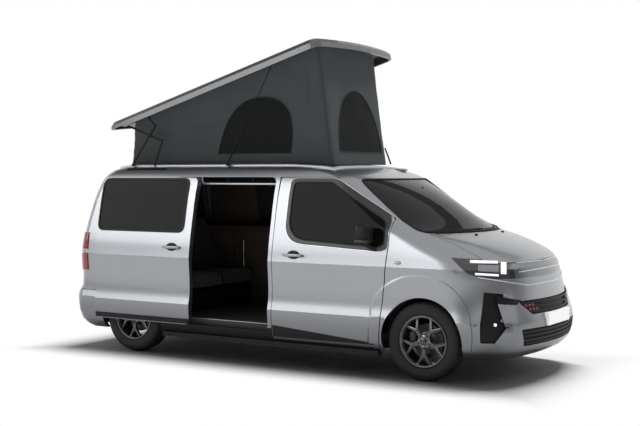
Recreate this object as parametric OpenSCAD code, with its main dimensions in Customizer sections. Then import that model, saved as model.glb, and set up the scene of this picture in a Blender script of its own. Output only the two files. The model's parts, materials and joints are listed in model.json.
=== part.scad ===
// Camper van with a lifting roof, an open sliding door, hinged doors, bonnet and tailgate.
// +X points forward, +Y to the van's left, Z up from the road.

/* [Van] */
// Length over both bumpers
body_length = 4983; // [4943:10:5023]
// Width of the body without the mirrors
body_width = 1920; // [1900:10:1940]
// Height of the steel roof
roof_height = 1900; // [1890:5:1910]
// Distance between the axles
wheelbase = 3275; // [3255:5:3285]
// Front overhang from the bumper to the front axle
front_overhang = 905; // [895:5:915]
// Thickness of the doors and walls
wall = 62; // [58:1:66]
// Gap around a moving panel
shut_line = 6; // [6:0.5:7]
// Thickness of the glass
glass = 8; // [6:1:10]

/* [Wheels] */
// Radius of a tyre
tyre_radius = 345; // [340:1:348]
// Width of a tyre
tyre_width = 215; // [205:5:225]
// Radius of the rim at its flange
rim_radius = 228; // [224:1:232]
// Distance from the middle of the van to the middle of a wheel
half_track = 805; // [800:1:808]
// Radius of the wheel arch
arch_radius = 386; // [384:1:390]
// Number of spokes
spokes = 5; // [4:1:6]
// Radius of the stub axle
stub_radius = 28; // [24:1:30]

/* [Lifting roof] */
// Angle of the raised lid
lid_tilt = 16.5; // [16:0.25:17]
// Length of the lid
lid_length = 2665; // [2645:5:2675]
// Half width of the lid
lid_half_width = 762; // [758:1:766]
// Height of the lid's edge
lid_depth = 92; // [88:1:96]
// Half width of the canvas
canvas_half_width = 550; // [540:2:560]
// Thickness of the linkage bars
bar_gauge = 7; // [6:0.5:7]
// Width of the linkage bars
bar_width = 20; // [16:1:20]
// Radius of the linkage pins
pin_radius = 6; // [5:0.5:6.5]

/* [Hidden] */

$fn = 64;
tiny = 0.01;
beyond = 3000;

half_length = body_length / 2;
front_axle = half_length - front_overhang;
rear_axle_x = front_axle - wheelbase;

paint = [0.60, 0.61, 0.62];
black = [0.06, 0.06, 0.07];
dark_glass = [0.10, 0.11, 0.12, 0.8];
metal = [0.62, 0.63, 0.64];
trim_grey = [0.22, 0.22, 0.23];

// Body sections, one level outline a row. Columns: height, reach of the nose, its bow, width and
// depth of the front corner, half width, reach of the tail, its bow, radius of the rear corner.
Z = 0;
NOSE = 1;
BOW = 2;
CORNER_W = 3;
CORNER_D = 4;
HALF = 5;
TAIL = 6;
TAIL_BOW = 7;
TAIL_R = 8;
body_rows = [
  [215, 2330, 170, 260, 330, 880, 2345, 45, 90],
  [250, 2405, 190, 270, 340, 916, 2405, 45, 95],
  [300, 2455, 200, 280, 350, 938, 2455, 45, 100],
  [380, 2482, 205, 290, 360, 950, 2484, 45, 100],
  [460, half_length, 210, 290, 370, 957, half_length, 45, 100],
  [535, 2482, 212, 290, 370, body_width / 2, half_length, 45, 100],
  [585, 2467, 214, 290, 372, 947, 2487, 45, 100],
  [640, 2450, 216, 290, 375, 938, 2450, 45, 100],
  [720, 2422, 218, 295, 375, 935, 2446, 45, 100],
  [800, 2397, 220, 300, 375, 938, 2445, 45, 100],
  [880, 2380, 222, 300, 378, 944, 2444, 45, 100],
  [950, 2366, 224, 300, 380, 949, 2443, 45, 100],
  [985, 2356, 226, 305, 385, 951, 2442, 45, 100],
  [1020, 2338, 230, 320, 400, 946, 2440, 45, 100],
  [1060, 2304, 236, 335, 420, 941, 2437, 45, 100],
  [1100, 2248, 242, 345, 440, 936, 2433, 45, 100],
  [1140, 2168, 246, 345, 445, 930, 2428, 45, 100],
  [1180, 2075, 248, 335, 430, 923, 2423, 45, 100],
  [1215, 1975, 252, 310, 380, 917, 2418, 45, 100],
  [1250, 1862, 290, 230, 280, 910, 2412, 45, 100],
  [1300, 1742, 350, 150, 190, 901, 2403, 45, 100],
  [1385, 1600, 385, 120, 160, 884, 2386, 45, 100],
  [1500, 1425, 375, 110, 150, 861, 2358, 45, 100],
  [1600, 1262, 335, 100, 135, 838, 2330, 45, 100],
  [1700, 1065, 240, 95, 125, 808, 2297, 45, 105],
  [1750, 945, 165, 105, 125, 789, 2276, 45, 110],
  [1790, 832, 125, 130, 150, 769, 2254, 50, 125],
  [1830, 702, 105, 175, 190, 740, 2221, 55, 150],
  [1860, 560, 100, 235, 250, 698, 2171, 60, 185],
  [1880, 380, 100, 290, 310, 640, 2091, 70, 215],
  [roof_height - 8, 130, 110, 300, 320, 560, 1970, 80, 220],
  [roof_height, -380, 110, 240, 260, 380, 1500, 60, 180]];
last_row = len(body_rows) - 1;
// The sides draw in towards both ends by this share
side_camber = 0.02;
camber_x = -200;
camber_reach = 2200;

function row(i) = body_rows[max(0, min(last_row, i))];

function nose_x(r, y) = r[NOSE] - r[BOW] * pow(y / r[HALF], 2);
function tail_x(r, y) = r[TAIL_BOW] * pow(y / r[HALF], 2) - r[TAIL];
nose_steps = 5;
corner_steps = 5;
side_steps = 5;
tail_steps = 3;
function half_outline(r) = let (
    flat = r[HALF] - r[CORNER_W],
    back = r[HALF] - r[TAIL_R],
    from = nose_x(r, r[HALF]) - r[CORNER_D],
    to = tail_x(r, r[HALF]) + r[TAIL_R])
  concat(
    [for (i = [0:nose_steps]) let (y = flat * i / nose_steps) [nose_x(r, y), y]],
    [for (i = [1:corner_steps]) let (a = 90 * i / corner_steps, y = flat + r[CORNER_W] * sin(a))
      [nose_x(r, y) - r[CORNER_D] * (1 - cos(a)), y]],
    [for (i = [1:side_steps - 1]) [from + (to - from) * i / side_steps, r[HALF]]],
    [for (i = [0:corner_steps]) let (a = 90 * i / corner_steps, y = back + r[TAIL_R] * cos(a))
      [tail_x(r, y) + r[TAIL_R] * (1 - sin(a)), y]],
    [for (i = [1:tail_steps]) let (y = back * (1 - i / tail_steps)) [tail_x(r, y), y]]);
function drawn_in(p) = [p[0], p[1] * (1 - side_camber * pow((p[0] - camber_x) / camber_reach, 2))];
function outline(r) = let (h = [for (p = half_outline(r)) drawn_in(p)], n = len(h))
  concat(h, [for (i = [n - 2:-1:1]) [h[i][0], -h[i][1]]]);
function inset(r, d) = [r[Z], r[NOSE] - d, r[BOW], r[CORNER_W], r[CORNER_D], r[HALF] - d, r[TAIL] - d,
  r[TAIL_BOW], r[TAIL_R]];

// The outer skin of the whole body
module body_skin() {
  rings = [for (r = body_rows) [for (p = outline(r)) [p[0], p[1], r[Z]]]];
  count = len(rings[0]);
  top = len(rings) - 1;
  points = [for (ring = rings, p = ring) p];
  walls = [for (l = [0:top - 1], k = [0:count - 1]) let (
      a = l * count + k, b = l * count + (k + 1) % count, c = b + count, d = a + count)
    each [[a, d, c], [a, c, b]]];
  floor_face = [[for (k = [0:count - 1]) k]];
  roof_face = [[for (k = [count - 1:-1:0]) top * count + k]];
  polyhedron(points, concat(floor_face, walls, roof_face), convexity = 6);
}

// The space inside the skin: set in by d from the sides and ends, and by drop from above.
// It takes every row of the table where step is 1, and every second one where it is 2.
module body_room(d, drop, step = 1) {
  function ring(r, z) = [for (p = outline(inset(r, d))) [p[0], p[1], z]];
  module layer(low, high) {
    n = len(low);
    hull() polyhedron(concat(low, high), [[for (k = [0:n - 1]) k], [for (k = [0:n - 1]) n + k]]);
  }
  layer(ring(row(0), row(0)[Z] - 200), ring(row(0), row(0)[Z] - drop));
  for (i = [0:step:last_row - 1])
    layer(ring(row(i), row(i)[Z] - drop), ring(row(i + step), row(i + step)[Z] - drop));
}

// Zones that cut the skin into panels. Side zones are drawn in x and z on the right side.
roof_gauge = 36;
zone_fn = 20;
module right_of(inner, outer) translate([0, -inner, 0]) rotate([90, 0, 0])
  linear_extrude(outer - inner) children();
module rounded(r, grow = 0) offset(r = r + grow, $fn = zone_fn) offset(delta = -r) children();
module on_right() right_of(450, beyond / 2) children();
module across(half) right_of(-half, half) children();
module ahead_of(x) translate([x, 0, 0]) rotate([90, 0, 90]) linear_extrude(beyond) children();
module behind(x) translate([-x - beyond, 0, 0]) rotate([90, 0, 90]) linear_extrude(beyond) children();
module both_sides() {
  children();
  mirror([0, 1, 0]) children();
}

sill_z = 262;
belt_z = 1305;
door_back = 42;
door_foot = 1166;
door_front = 1250;
door_shoulder = 1165;
door_top = 1765;
door_rake_x = 660;
door_post_z = 1400;
module door_zone(grow) offset(delta = grow) polygon([[door_back, sill_z], [door_foot, sill_z],
  [door_front, door_shoulder], [door_front + 6, door_post_z], [door_rake_x, door_top],
  [door_back, door_top]]);
door_pane_top = door_top - 45;
module door_window(grow) rounded(18, grow) polygon([[205, belt_z + 40], [232, belt_z - 32],
  [290, belt_z - 86], [375, belt_z - 110], [1140, 1152], [1208, 1180], [1208, 1372],
  [622, door_pane_top], [205, door_pane_top]]);
module quarter_light(grow) offset(delta = grow) polygon([[1272, 1273], [1320, 1300], [1272, 1332]]);

slide_front = -4;
slide_back = -1228;
slide_foot = 330;
slide_top = 1768;
corner_r = 60;
module slide_zone(grow) rounded(corner_r, grow) polygon([[slide_back, slide_foot], [slide_front, slide_foot],
  [slide_front, slide_top], [slide_back, slide_top]]);
window_r = 40;
module window(back, front, foot, top, grow) rounded(window_r, grow)
  polygon([[back, foot], [front, foot], [front, top], [back, top]]);
slide_window = [slide_back + 24, slide_front - 136, 1250, 1738];
rear_window = [-2075, -1330, 1260, 1720];

wing_top = 1262;
module nose_zone(gap) polygon([[door_foot + gap, 0], [door_foot + gap, sill_z],
  [door_front + gap, door_shoulder], [door_front + gap, wing_top], [beyond, wing_top],
  [beyond, 0]]);
bumper_seam = 2004;
bumper_top = 868;
module bumper_zone() polygon([[bumper_seam, 0], [beyond, 0], [beyond, bumper_top],
  [bumper_seam + 110, bumper_top + 45],
  [bumper_seam, bumper_top + 80]]);
lamp_inner = 545;
module lamp_zone() polygon([[1838, 1086], [bumper_seam, bumper_top + 82],
  [bumper_seam + 110, bumper_top + 46],
  [beyond, bumper_top], [beyond, 1036], [2090, 1072]]);
bonnet_lip = 1038;
bonnet_half = 745;
bonnet_back = 1812;
bonnet_bow = 225;
module bonnet_plan(grow) offset(delta = grow) polygon(concat(
  [for (s = [-1, 1]) [beyond, s * bonnet_half]],
  [for (y = [bonnet_half:-bonnet_half / 5:-bonnet_half])
    [bonnet_back - bonnet_bow * pow(y / bonnet_half, 2), y]]));
screen_foot = 1282;
module bonnet_zone(grow) translate([0, 0, bonnet_lip - grow])
  linear_extrude(screen_foot - shut_line - bonnet_lip + 2 * grow) bonnet_plan(grow);
screen_top = 1748;
module screen_zone(grow) rounded(30, grow) polygon([[-772, screen_foot], [772, screen_foot],
  [668, screen_top], [-668, screen_top]]);
roof_half = 672;
roof_front = 1075;
module roof_zone(grow = 0) translate([-beyond, -roof_half - grow, screen_top - grow])
  cube([beyond + roof_front, 2 * (roof_half + grow), 400]);
gate_half = 780;
gate_fore = 2110;
gate_foot = 604;
gate_top = 1842;
module gate_zone(grow) rounded(window_r, grow) polygon([[-gate_half, gate_foot],
  [gate_half, gate_foot], [gate_half, 1240], [668, gate_top], [-668, gate_top], [-gate_half, 1240]]);
module gate_window(grow) rounded(window_r, grow) polygon([[-640, 1255], [640, 1255],
  [580, 1745], [-580, 1745]]);
tail_bumper_x = 2090;
tail_lamp = [2356, 790, 800, 1195];
module tail_lamp_zone() translate([-beyond, -beyond, tail_lamp[2]])
  cube([beyond - tail_lamp[0], beyond - tail_lamp[1], tail_lamp[3] - tail_lamp[2]]);

module arch(x) translate([x, 0, tyre_radius]) rotate([90, 0, 0])
  cylinder(r = arch_radius, h = beyond, center = true, $fn = 48);
module arches() {
  arch(front_axle);
  arch(rear_axle_x);
}
// A proud lip round the front arches
flare_proud = 11;
flare_foot = 300;
flare_radius = 512;
flare_shift = [-40, 85];
flare = [[-240, 0], [-240, -960], [-52, -957], [0, -930], [0, 0]];
flare_box = [1220, 2 * beyond, 800];
module front_flares(in) intersection() {
  both_sides() translate([front_axle + flare_shift[0], 0, tyre_radius + flare_shift[1]]) rotate([-90, 0, 0])
    rotate_extrude($fn = 48) polygon([for (p = flare) [flare_radius + p[0], min(0, p[1] + in)]]);
  body_room(in - flare_proud, 0);
  translate([front_axle - flare_box[0] / 2, -beyond, flare_foot + in]) cube(flare_box);
}
module skin() {
  body_skin();
  front_flares(0);
}
module shell_wall() difference() {
  skin();
  body_room(wall, roof_gauge, 2);
}
module shell_glass() difference() {
  body_skin();
  body_room(glass, glass);
}

// The door hinges lie just under the skin. Ahead of them the door's edge swings in behind the wing,
// which keeps only a thin flange there.
hinge_x = 1150;
hinge_y = 933;
hinge_swing = 106;
hinge_foot = 72;
hinge_arm = [112, 8, 124];
hinge_flange = 6;
hinge_zs = [470, 950];
hinge_h = 50;
hinge_r = 7;
wing_gap = 9;
wing_foot = 240;
module hinge_space() intersection() {
  translate([hinge_x, -hinge_y, 0]) cylinder(r = hinge_swing, h = wing_top, $fn = 48);
  union() {
    body_room(hinge_flange, 0);
    front_flares(hinge_flange);
  }
}

module side(slide, windows) color(paint) difference() {
  intersection() {
    shell_wall();
    translate([-beyond, -beyond, 0]) cube([2 * beyond, beyond, beyond]);
  }
  on_right() nose_zone(0);
  ahead_of(500) screen_zone(0);
  roof_zone();
  behind(gate_fore) gate_zone(shut_line);
  translate([-beyond, -beyond, 0]) cube([beyond - tail_bumper_x, beyond, gate_foot]);
  tail_lamp_zone();
  bonnet_zone(shut_line);
  on_right() door_zone(shut_line);
  on_right() quarter_light(0);
  arches();
  hinge_space();
  if (slide) on_right() slide_zone(0);
  for (w = windows) on_right() window(w[0], w[1], w[2], w[3], 0);
  translate([door_rake_x, -cowl_half, 0]) cube([beyond, 2 * cowl_half, screen_foot]);
}
module right_side() side(true, [rear_window]);
left_window = [-1130, -110, 1250, 1720];
module left_side() mirror([0, 1, 0]) side(false, [rear_window, left_window]);

roof_hole = [-1900, 330, 480];
module roof_panel() color(paint) difference() {
  intersection() {
    shell_wall();
    roof_zone();
  }
  ahead_of(500) screen_zone(0);
  behind(gate_fore) gate_zone(shut_line);
  translate([roof_hole[0], -roof_hole[2], 1500]) cube([roof_hole[1] - roof_hole[0], 2 * roof_hole[2], 800]);
}

bulkhead_x = 1400;
bulkhead_half = 820;
bulkhead_gauge = 26;
cowl_half = 690;
cowl_gap = 14;
module cowl() color(black) {
  difference() {
    intersection() {
      shell_wall();
      translate([1300, -beyond, wing_top - 110]) cube([700, 2 * beyond, screen_foot - wing_top + 110]);
    }
    bonnet_zone(cowl_gap);
    ahead_of(500) screen_zone(0);
    both_sides() translate([500, cowl_half, 0]) cube([beyond, beyond, beyond]);
  }
  difference() {
    intersection() {
      body_room(wall + seal, roof_gauge, 2);
      translate([bulkhead_x, -bulkhead_half, floor_top]) cube([bulkhead_gauge, 2 * bulkhead_half, 800]);
    }
    both_sides() translate([0, -liner_in, 0]) mirror([0, 1, 0]) wheel_space(front_axle);
  }
}

module front_wings() color(paint) both_sides() difference() {
  intersection() {
    shell_wall();
    right_of(cowl_half, beyond / 2) nose_zone(wing_gap);
  }
  on_right() bumper_zone();
  on_right() lamp_zone();
  bonnet_zone(shut_line);
  arches();
  hinge_space();
  translate([door_foot, -beyond, 0]) cube([wing_gap + 70, beyond, wing_foot]);
}

slot = [595, 592, 712];
low_grille = [640, 330, 478];
grille_r = 14;
slot_slant = 150;
module slot_zone() rounded(grille_r) polygon([[-slot[0], slot[2]], [-slot[0] + slot_slant, slot[1]],
  [slot[0] - slot_slant, slot[1]], [slot[0], slot[2]]]);
module low_grille_zone() rounded(grille_r) polygon([[-low_grille[0] + 60, low_grille[1]],
  [low_grille[0] - 60, low_grille[1]], [low_grille[0], low_grille[2]], [-low_grille[0], low_grille[2]]]);
module corner_zone() rounded(grille_r) polygon([[2118, 372], [2330, 372], [2330, 520],
  [2260, 560], [2330, 700], [2330, 770], [2118, 800]]);
module openings() {
  ahead_of(1900) slot_zone();
  ahead_of(1900) low_grille_zone();
  both_sides() right_of(690, beyond / 2) corner_zone();
}
module front_bumper() color(paint) difference() {
  intersection() {
    shell_wall();
    union() {
      both_sides() right_of(0, beyond / 2) bumper_zone();
    }
  }
  openings();
  arches();
}
grille_set = 14;
module grilles() color(black) {
  difference() {
    intersection() {
      body_room(grille_set, grille_set);
      openings();
    }
    body_room(wall, roof_gauge, 2);
  }
  difference() {
    intersection() {
      shell_wall();
      across(lamp_inner) polygon([[1900, bumper_top], [beyond, bumper_top], [beyond, bonnet_lip - shut_line],
        [1900, bonnet_lip - shut_line]]);
    }
    across(lamp_inner + 1) bumper_zone();
    bonnet_zone(shut_line);
  }
  both_sides() stop(bonnet_stop[0], bonnet_stop[1], bonnet_lip - shut_line);
}
// Rubber stops that the closed bonnet and tailgate rest on
stop_radius = 9;
bonnet_stop = [2272, 330];
gate_stop = [-2425, 480];
module stop(at, y, z) translate([at, y, z]) cylinder(r = stop_radius, h = shut_line - seal, $fn = 16);
module headlamps() color([0.8, 0.82, 0.85]) both_sides() difference() {
  intersection() {
    shell_wall();
    right_of(lamp_inner, beyond / 2) lamp_zone();
  }
  bonnet_zone(shut_line);
}

module rear_bumper() color(paint) {
  difference() {
    intersection() {
      shell_wall();
      translate([-beyond, -beyond, 0]) cube([beyond - tail_bumper_x, 2 * beyond, gate_foot - shut_line]);
    }
    arches();
  }
  both_sides() stop(gate_stop[0], gate_stop[1], gate_foot - shut_line);
}
module tail_lamps() color([0.6, 0.05, 0.05]) both_sides() difference() {
  intersection() {
    shell_wall();
    tail_lamp_zone();
  }
  behind(gate_fore) gate_zone(shut_line);
}

seal = 0.3;
module windscreen() color(dark_glass) intersection() {
  shell_glass();
  ahead_of(500) screen_zone(-seal);
}
module side_glass() color(dark_glass) {
  intersection() {
    shell_glass();
    union() {
      both_sides() on_right() window(rear_window[0], rear_window[1], rear_window[2], rear_window[3], -seal);
      both_sides() on_right() quarter_light(-seal);
      mirror([0, 1, 0]) on_right()
        window(left_window[0], left_window[1], left_window[2], left_window[3], -seal);
    }
  }
}

// The sliding door stands open: back along the side and out from it
slide_travel = 868;
slide_out = 74;
slide_wall = 50;
module slid() translate([-slide_travel, -slide_out, 0]) children();
module sliding_door() color(paint) slid() difference() {
  intersection() {
    body_skin();
    on_right() slide_zone(-shut_line);
  }
  body_room(slide_wall, roof_gauge, 2);
  on_right() window(slide_window[0], slide_window[1], slide_window[2], slide_window[3], 0);
}
module sliding_door_glass() color(dark_glass) slid() intersection() {
  shell_glass();
  on_right() window(slide_window[0], slide_window[1], slide_window[2], slide_window[3], -seal);
}
rail_z = 1185;
rail = [-2150, 900, 30];
module door_rails() color(metal) difference() {
  intersection() {
    translate([rail[0], -beyond / 2, rail_z]) cube([rail[1], beyond / 2, rail[2]]);
    slid() body_room(slide_wall + seal, roof_gauge, 2);
  }
  body_room(-seal, -seal);
}
module sill_trims() color(black) both_sides() difference() {
  translate([rear_axle_x + arch_radius + 20, -925, 190]) cube([wheelbase - 2 * arch_radius - 60, 70, 46]);
  body_skin();
}
plate = [520, 110, 44];
plate_z = 535;
module front_plate() color("white") difference() {
  translate([half_length - plate[2], -plate[0] / 2, plate_z - plate[1] / 2])
    cube([plate[2], plate[0], plate[1]]);
  body_room(-seal, -seal);
}

floor_top = 385;
floor_gauge = 55;
module floor_pan() color(trim_grey) difference() {
  intersection() {
    body_room(wall + seal, roof_gauge, 2);
    translate([-2340, -beyond, floor_top - floor_gauge]) cube([3700, 2 * beyond, floor_gauge]);
  }
  for (n = [[front_axle, liner_in], [rear_axle_x, arm_outer - trail_arm[1]]]) both_sides()
    translate([n[0] - 400, -beyond, 0]) cube([800, beyond - n[1], beyond]);
  both_sides() difference() {
    on_right() door_zone(shut_line);
    body_room(wall + shut_line, roof_gauge, 2);
  }
  both_sides() translate([hinge_x, -hinge_y, 0]) cylinder(r = hinge_foot, h = wing_top);
}

// Curved liners over the wheels, closed on the side towards the middle of the van
liner_gauge = 5;
liner_out = 820;
rear_liner_out = 862.3;
liner_in = 500;
rear_liner_in = 664;
liner_foot = 300;
liner_hole = 90;
module wheel_space(x) translate([x, 0, tyre_radius]) rotate([-90, 0, 0])
  cylinder(r = arch_radius + liner_gauge + 8, h = beyond, $fn = 96);
module liner(x, inner, outer) translate([x, -inner, tyre_radius]) rotate([90, 0, 0]) difference() {
  cylinder(r = arch_radius + liner_gauge, h = outer - inner);
  translate([0, 0, liner_gauge]) cylinder(r = arch_radius, h = outer);
  translate([-beyond / 2, -beyond - tyre_radius + liner_foot, -1]) cube([beyond, beyond, beyond]);
  translate([0, 0, -1]) cylinder(r = liner_hole, h = liner_gauge + 2);
}
module wheel_liners() color(black) both_sides() {
  liner(front_axle, liner_in, liner_out);
  liner(rear_axle_x, rear_liner_in, rear_liner_out);
}

dash_half = 770;
module dash_zone(grow) across(dash_half) offset(delta = grow)
  polygon([[1010, 880], [bulkhead_x, 800], [bulkhead_x, 1150], [1180, 1168], [1000, 1090]]);
module dashboard() color(black) dash_zone(-seal);
wheel_y = 390;
module steering_wheel() color(black) difference() {
  translate([905, wheel_y, 1040]) rotate([0, -62, 0]) {
    rotate_extrude() translate([178, 0]) circle(r = 15, $fn = 24);
    translate([0, 0, -14]) cylinder(r = 62, h = 28);
    for (a = [90, 210, 330]) rotate([0, 0, a]) translate([40, -14, -6]) cube([130, 28, 12]);
    translate([0, 0, -200]) cylinder(r = 28, h = 190);
  }
  dash_zone(0);
}
seat_y = 420;
seat_half = 245;
module seat(x, y, half) translate([x, y, floor_top]) {
  translate([-30, -half + 20, 0]) cube([480, 2 * half - 40, 230]);
  hull() for (p = [[0, 260], [470, 290], [470, 350], [0, 330]])
    translate([p[0], 0, p[1]]) rotate([90, 0, 0]) cylinder(r = 40, h = 2 * half, center = true, $fn = 24);
  hull() for (p = [[0, 330], [-190, 880]])
    translate([p[0], 0, p[1]]) rotate([90, 0, 0]) cylinder(r = 58, h = 2 * half, center = true, $fn = 24);
  hull() for (p = [[-222, 960], [-240, 1080]])
    translate([p[0], 0, p[1]]) rotate([90, 0, 0]) cylinder(r = 42, h = 1.1 * half, center = true, $fn = 24);
  translate([-222, 0, 860]) rotate([0, -8, 0]) cylinder(r = 9, h = 110);
}
module front_seats() color(black) for (s = [-1, 1]) seat(360, s * seat_y, seat_half);
bench = [-1640, -85, 560];
module rear_bench() color(black) seat(bench[0], bench[1], bench[2]);
kitchen_box = [-1980, 560, 1500, 270, 830];
worktop = 30;
module kitchen() color([0.30, 0.22, 0.17]) {
  difference() {
    translate([kitchen_box[0], kitchen_box[1], floor_top])
      cube([kitchen_box[2], kitchen_box[3], kitchen_box[4] - worktop]);
    translate([0, arm_outer - 2 * arm_lap, 0]) wheel_space(rear_axle_x);
  }
  translate([kitchen_box[0] - 10, kitchen_box[1] - 10, floor_top + kitchen_box[4] - worktop])
    cube([kitchen_box[2] + 20, kitchen_box[3] + 10, worktop]);
}

engine = [1520, 640, 900, 640];
subframe_top = floor_top - floor_gauge;
module engine_block() color(trim_grey) translate([engine[0], -engine[2] / 2, subframe_top])
  cube([engine[1], engine[2], engine[3]]);

// Steering and wheel mounts. The kingpin lies in the wheel's middle plane, inside the rim.
kingpin_reach = 105;
ball_radius = 15;
disc_radius = 82;
arm_z = tyre_radius - kingpin_reach - 30;
module front_subframe() color(trim_grey) {
  for (s = [-1, 1]) translate([1300, s * 420 - 45, subframe_top - 80]) cube([900, 90, 80]);
  for (x = [1330, front_axle - 60, 2110]) translate([x, -380, subframe_top - 80]) cube([90, 760, 60]);
  both_sides() {
    translate([front_axle - 26, -half_track, arm_z - 14]) cube([52, half_track - 400, 26]);
    translate([front_axle - 26, -500, arm_z - 14]) cube([52, 100, subframe_top - arm_z]);
    translate([front_axle, -half_track, arm_z - 14]) cylinder(r = 26, h = 26);
    translate([front_axle, -half_track, arm_z + 10]) cylinder(r = ball_radius, h = 34);
  }
}
module knuckle() {
  difference() {
    translate([-30, -30, -kingpin_reach]) cube([60, 60, 30]);
    translate([0, 0, -kingpin_reach - 1]) cylinder(r = ball_radius + seal, h = 40);
  }
  translate([-30, 20, -kingpin_reach]) cube([60, 60, 2 * kingpin_reach]);
  rotate([90, 0, 0]) translate([0, 0, -90]) cylinder(r = 62, h = 70);
  rotate([90, 0, 0]) translate([0, 0, -90]) cylinder(r = stub_radius, h = 90 + 78);
  rotate([90, 0, 0]) translate([0, 0, -22]) cylinder(r = disc_radius, h = 14);
}
module right_knuckle() color(metal) translate([front_axle, -half_track, tyre_radius]) knuckle();
module left_knuckle() color(metal) mirror([0, 1, 0])
  translate([front_axle, -half_track, tyre_radius]) knuckle();
// A twist beam and two trailing arms, hung from brackets under the floor
beam = [90, 1200, 90];
trail_arm = [520, 70, 100];
arm_outer = 660;
bush = 60;
bearing_radius = 62;
arm_lap = 10;
module rear_axle() color(trim_grey) {
  arm_top = subframe_top - 8;
  translate([rear_axle_x + bush, -beam[1] / 2, arm_top - beam[2]]) cube(beam);
  both_sides() {
    translate([rear_axle_x - bush, -arm_outer, arm_top - trail_arm[2]]) cube(trail_arm);
    translate([rear_axle_x - bush + trail_arm[0] - bush, -arm_outer, arm_top - bush])
      cube([bush, trail_arm[1], subframe_top - arm_top + bush]);
    translate([rear_axle_x, -arm_outer, tyre_radius]) rotate([90, 0, 0]) {
      translate([0, 0, -arm_lap]) cylinder(r = bearing_radius, h = 90 + arm_lap);
      cylinder(r = stub_radius, h = half_track - arm_outer + hub_face);
      translate([0, 0, 85]) cylinder(r = disc_radius, h = 14);
    }
  }
}

// A wheel about the Y axis, its outer face towards -Y
half_tyre = tyre_width / 2;
module tyre() color(black) rotate([90, 0, 0]) rotate_extrude($fn = 90) polygon([
  [rim_radius + seal, -half_tyre + 14], [rim_radius + 12, -half_tyre + 4], [rim_radius + 60, -half_tyre - 2],
  [tyre_radius - 30, -half_tyre + 6], [tyre_radius - 8, -half_tyre + 22], [tyre_radius, -half_tyre + 50],
  [tyre_radius, half_tyre - 50], [tyre_radius - 8, half_tyre - 22], [tyre_radius - 30, half_tyre - 6],
  [rim_radius + 60, half_tyre + 2], [rim_radius + 12, half_tyre - 4], [rim_radius + seal, half_tyre - 14]]);
rim_inner = 200;
hub_face = 78;
// Half outline of a forked spoke, outwards along the wheel's radius
spoke_depth = 26;
spoke = [[60, 24], [105, 24], [rim_inner + 5, 46.5], [rim_inner + 14, 22.4], [160, 0]];
module rim() color(metal) {
  rotate([90, 0, 0]) rotate_extrude($fn = 90) polygon([
    [rim_inner, -half_tyre + 12], [rim_radius, -half_tyre + 12],
    [rim_radius, half_tyre - 12], [rim_inner + 12, half_tyre - 12], [rim_inner, half_tyre - 40]]);
  rotate([90, 0, 0]) difference() {
    translate([0, 0, hub_face - 30]) cylinder(r = 76, h = 36);
    translate([0, 0, hub_face - 40]) cylinder(r = stub_radius + seal, h = 40 + seal);
  }
  for (i = [0:spokes - 1]) rotate([90, 90 + i * 360 / spokes, 0]) translate([0, 0, hub_face - spoke_depth])
    linear_extrude(spoke_depth)
      polygon(concat(spoke, [for (k = [len(spoke) - 2:-1:0]) [spoke[k][0], -spoke[k][1]]]));
}
module at_wheel(x, left) translate([x, left * half_track, tyre_radius])
  mirror([0, left > 0 ? 1 : 0, 0]) children();
module tyre_front_right() at_wheel(front_axle, -1) tyre();
module rim_front_right() at_wheel(front_axle, -1) rim();
module tyre_front_left() at_wheel(front_axle, 1) tyre();
module rim_front_left() at_wheel(front_axle, 1) rim();
module tyre_rear_right() at_wheel(rear_axle_x, -1) tyre();
module rim_rear_right() at_wheel(rear_axle_x, -1) rim();
module tyre_rear_left() at_wheel(rear_axle_x, 1) tyre();
module rim_rear_left() at_wheel(rear_axle_x, 1) rim();

// The door's rear edge is rounded about its hinges, so that it clears the pillar as it swings
module door_panel() color(paint) difference() {
  intersection() {
    shell_wall();
    on_right() door_zone(0);
    translate([hinge_x, -hinge_y, 0]) cylinder(r = hinge_x - door_back, h = beyond, $fn = 240);
  }
  on_right() door_window(0);
  roof_zone(shut_line);
  for (z = hinge_zs) translate([hinge_x, -hinge_y, z]) {
    translate([0, 0, -seal]) cylinder(r = hinge_r + seal, h = hinge_h + 2 * seal, $fn = 48);
    intersection() {
      translate([0, 0, -5]) cylinder(r = hinge_swing, h = hinge_h + 10, $fn = 48);
      translate([-90, 0, -5]) cube([190, 200, hinge_h + 10]);
    }
  }
}
module door_pane() color(dark_glass) intersection() {
  shell_glass();
  on_right() door_window(-seal);
}
module door_mirror() color(black) {
  hull() for (p = [[1010, 1215], [1085, 1190], [1105, 1310], [1025, 1345]], y = [958, 1082])
    translate([p[0], -y, p[1]]) sphere(r = 20, $fn = 10);
  hull() {
    translate([1060, -990, 1190]) sphere(r = 16, $fn = 12);
    translate([1105, -905, 1106]) cube([90, 14, 42]);
  }
}
module right_door() door_panel();
module right_door_glass() door_pane();
module right_mirror() difference() {
  door_mirror();
  body_room(-seal, -seal);
}
module left_door() mirror([0, 1, 0]) door_panel();
module left_door_glass() mirror([0, 1, 0]) door_pane();
module left_mirror() mirror([0, 1, 0]) right_mirror();
module bonnet() color(paint) intersection() {
  shell_wall();
  bonnet_zone(0);
}
module tailgate() color(paint) difference() {
  intersection() {
    shell_wall();
    behind(gate_fore + shut_line) gate_zone(0);
  }
  behind(gate_fore) gate_window(0);
}
module tailgate_glass() color(dark_glass) intersection() {
  shell_glass();
  behind(gate_fore) gate_window(-seal);
}
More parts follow.
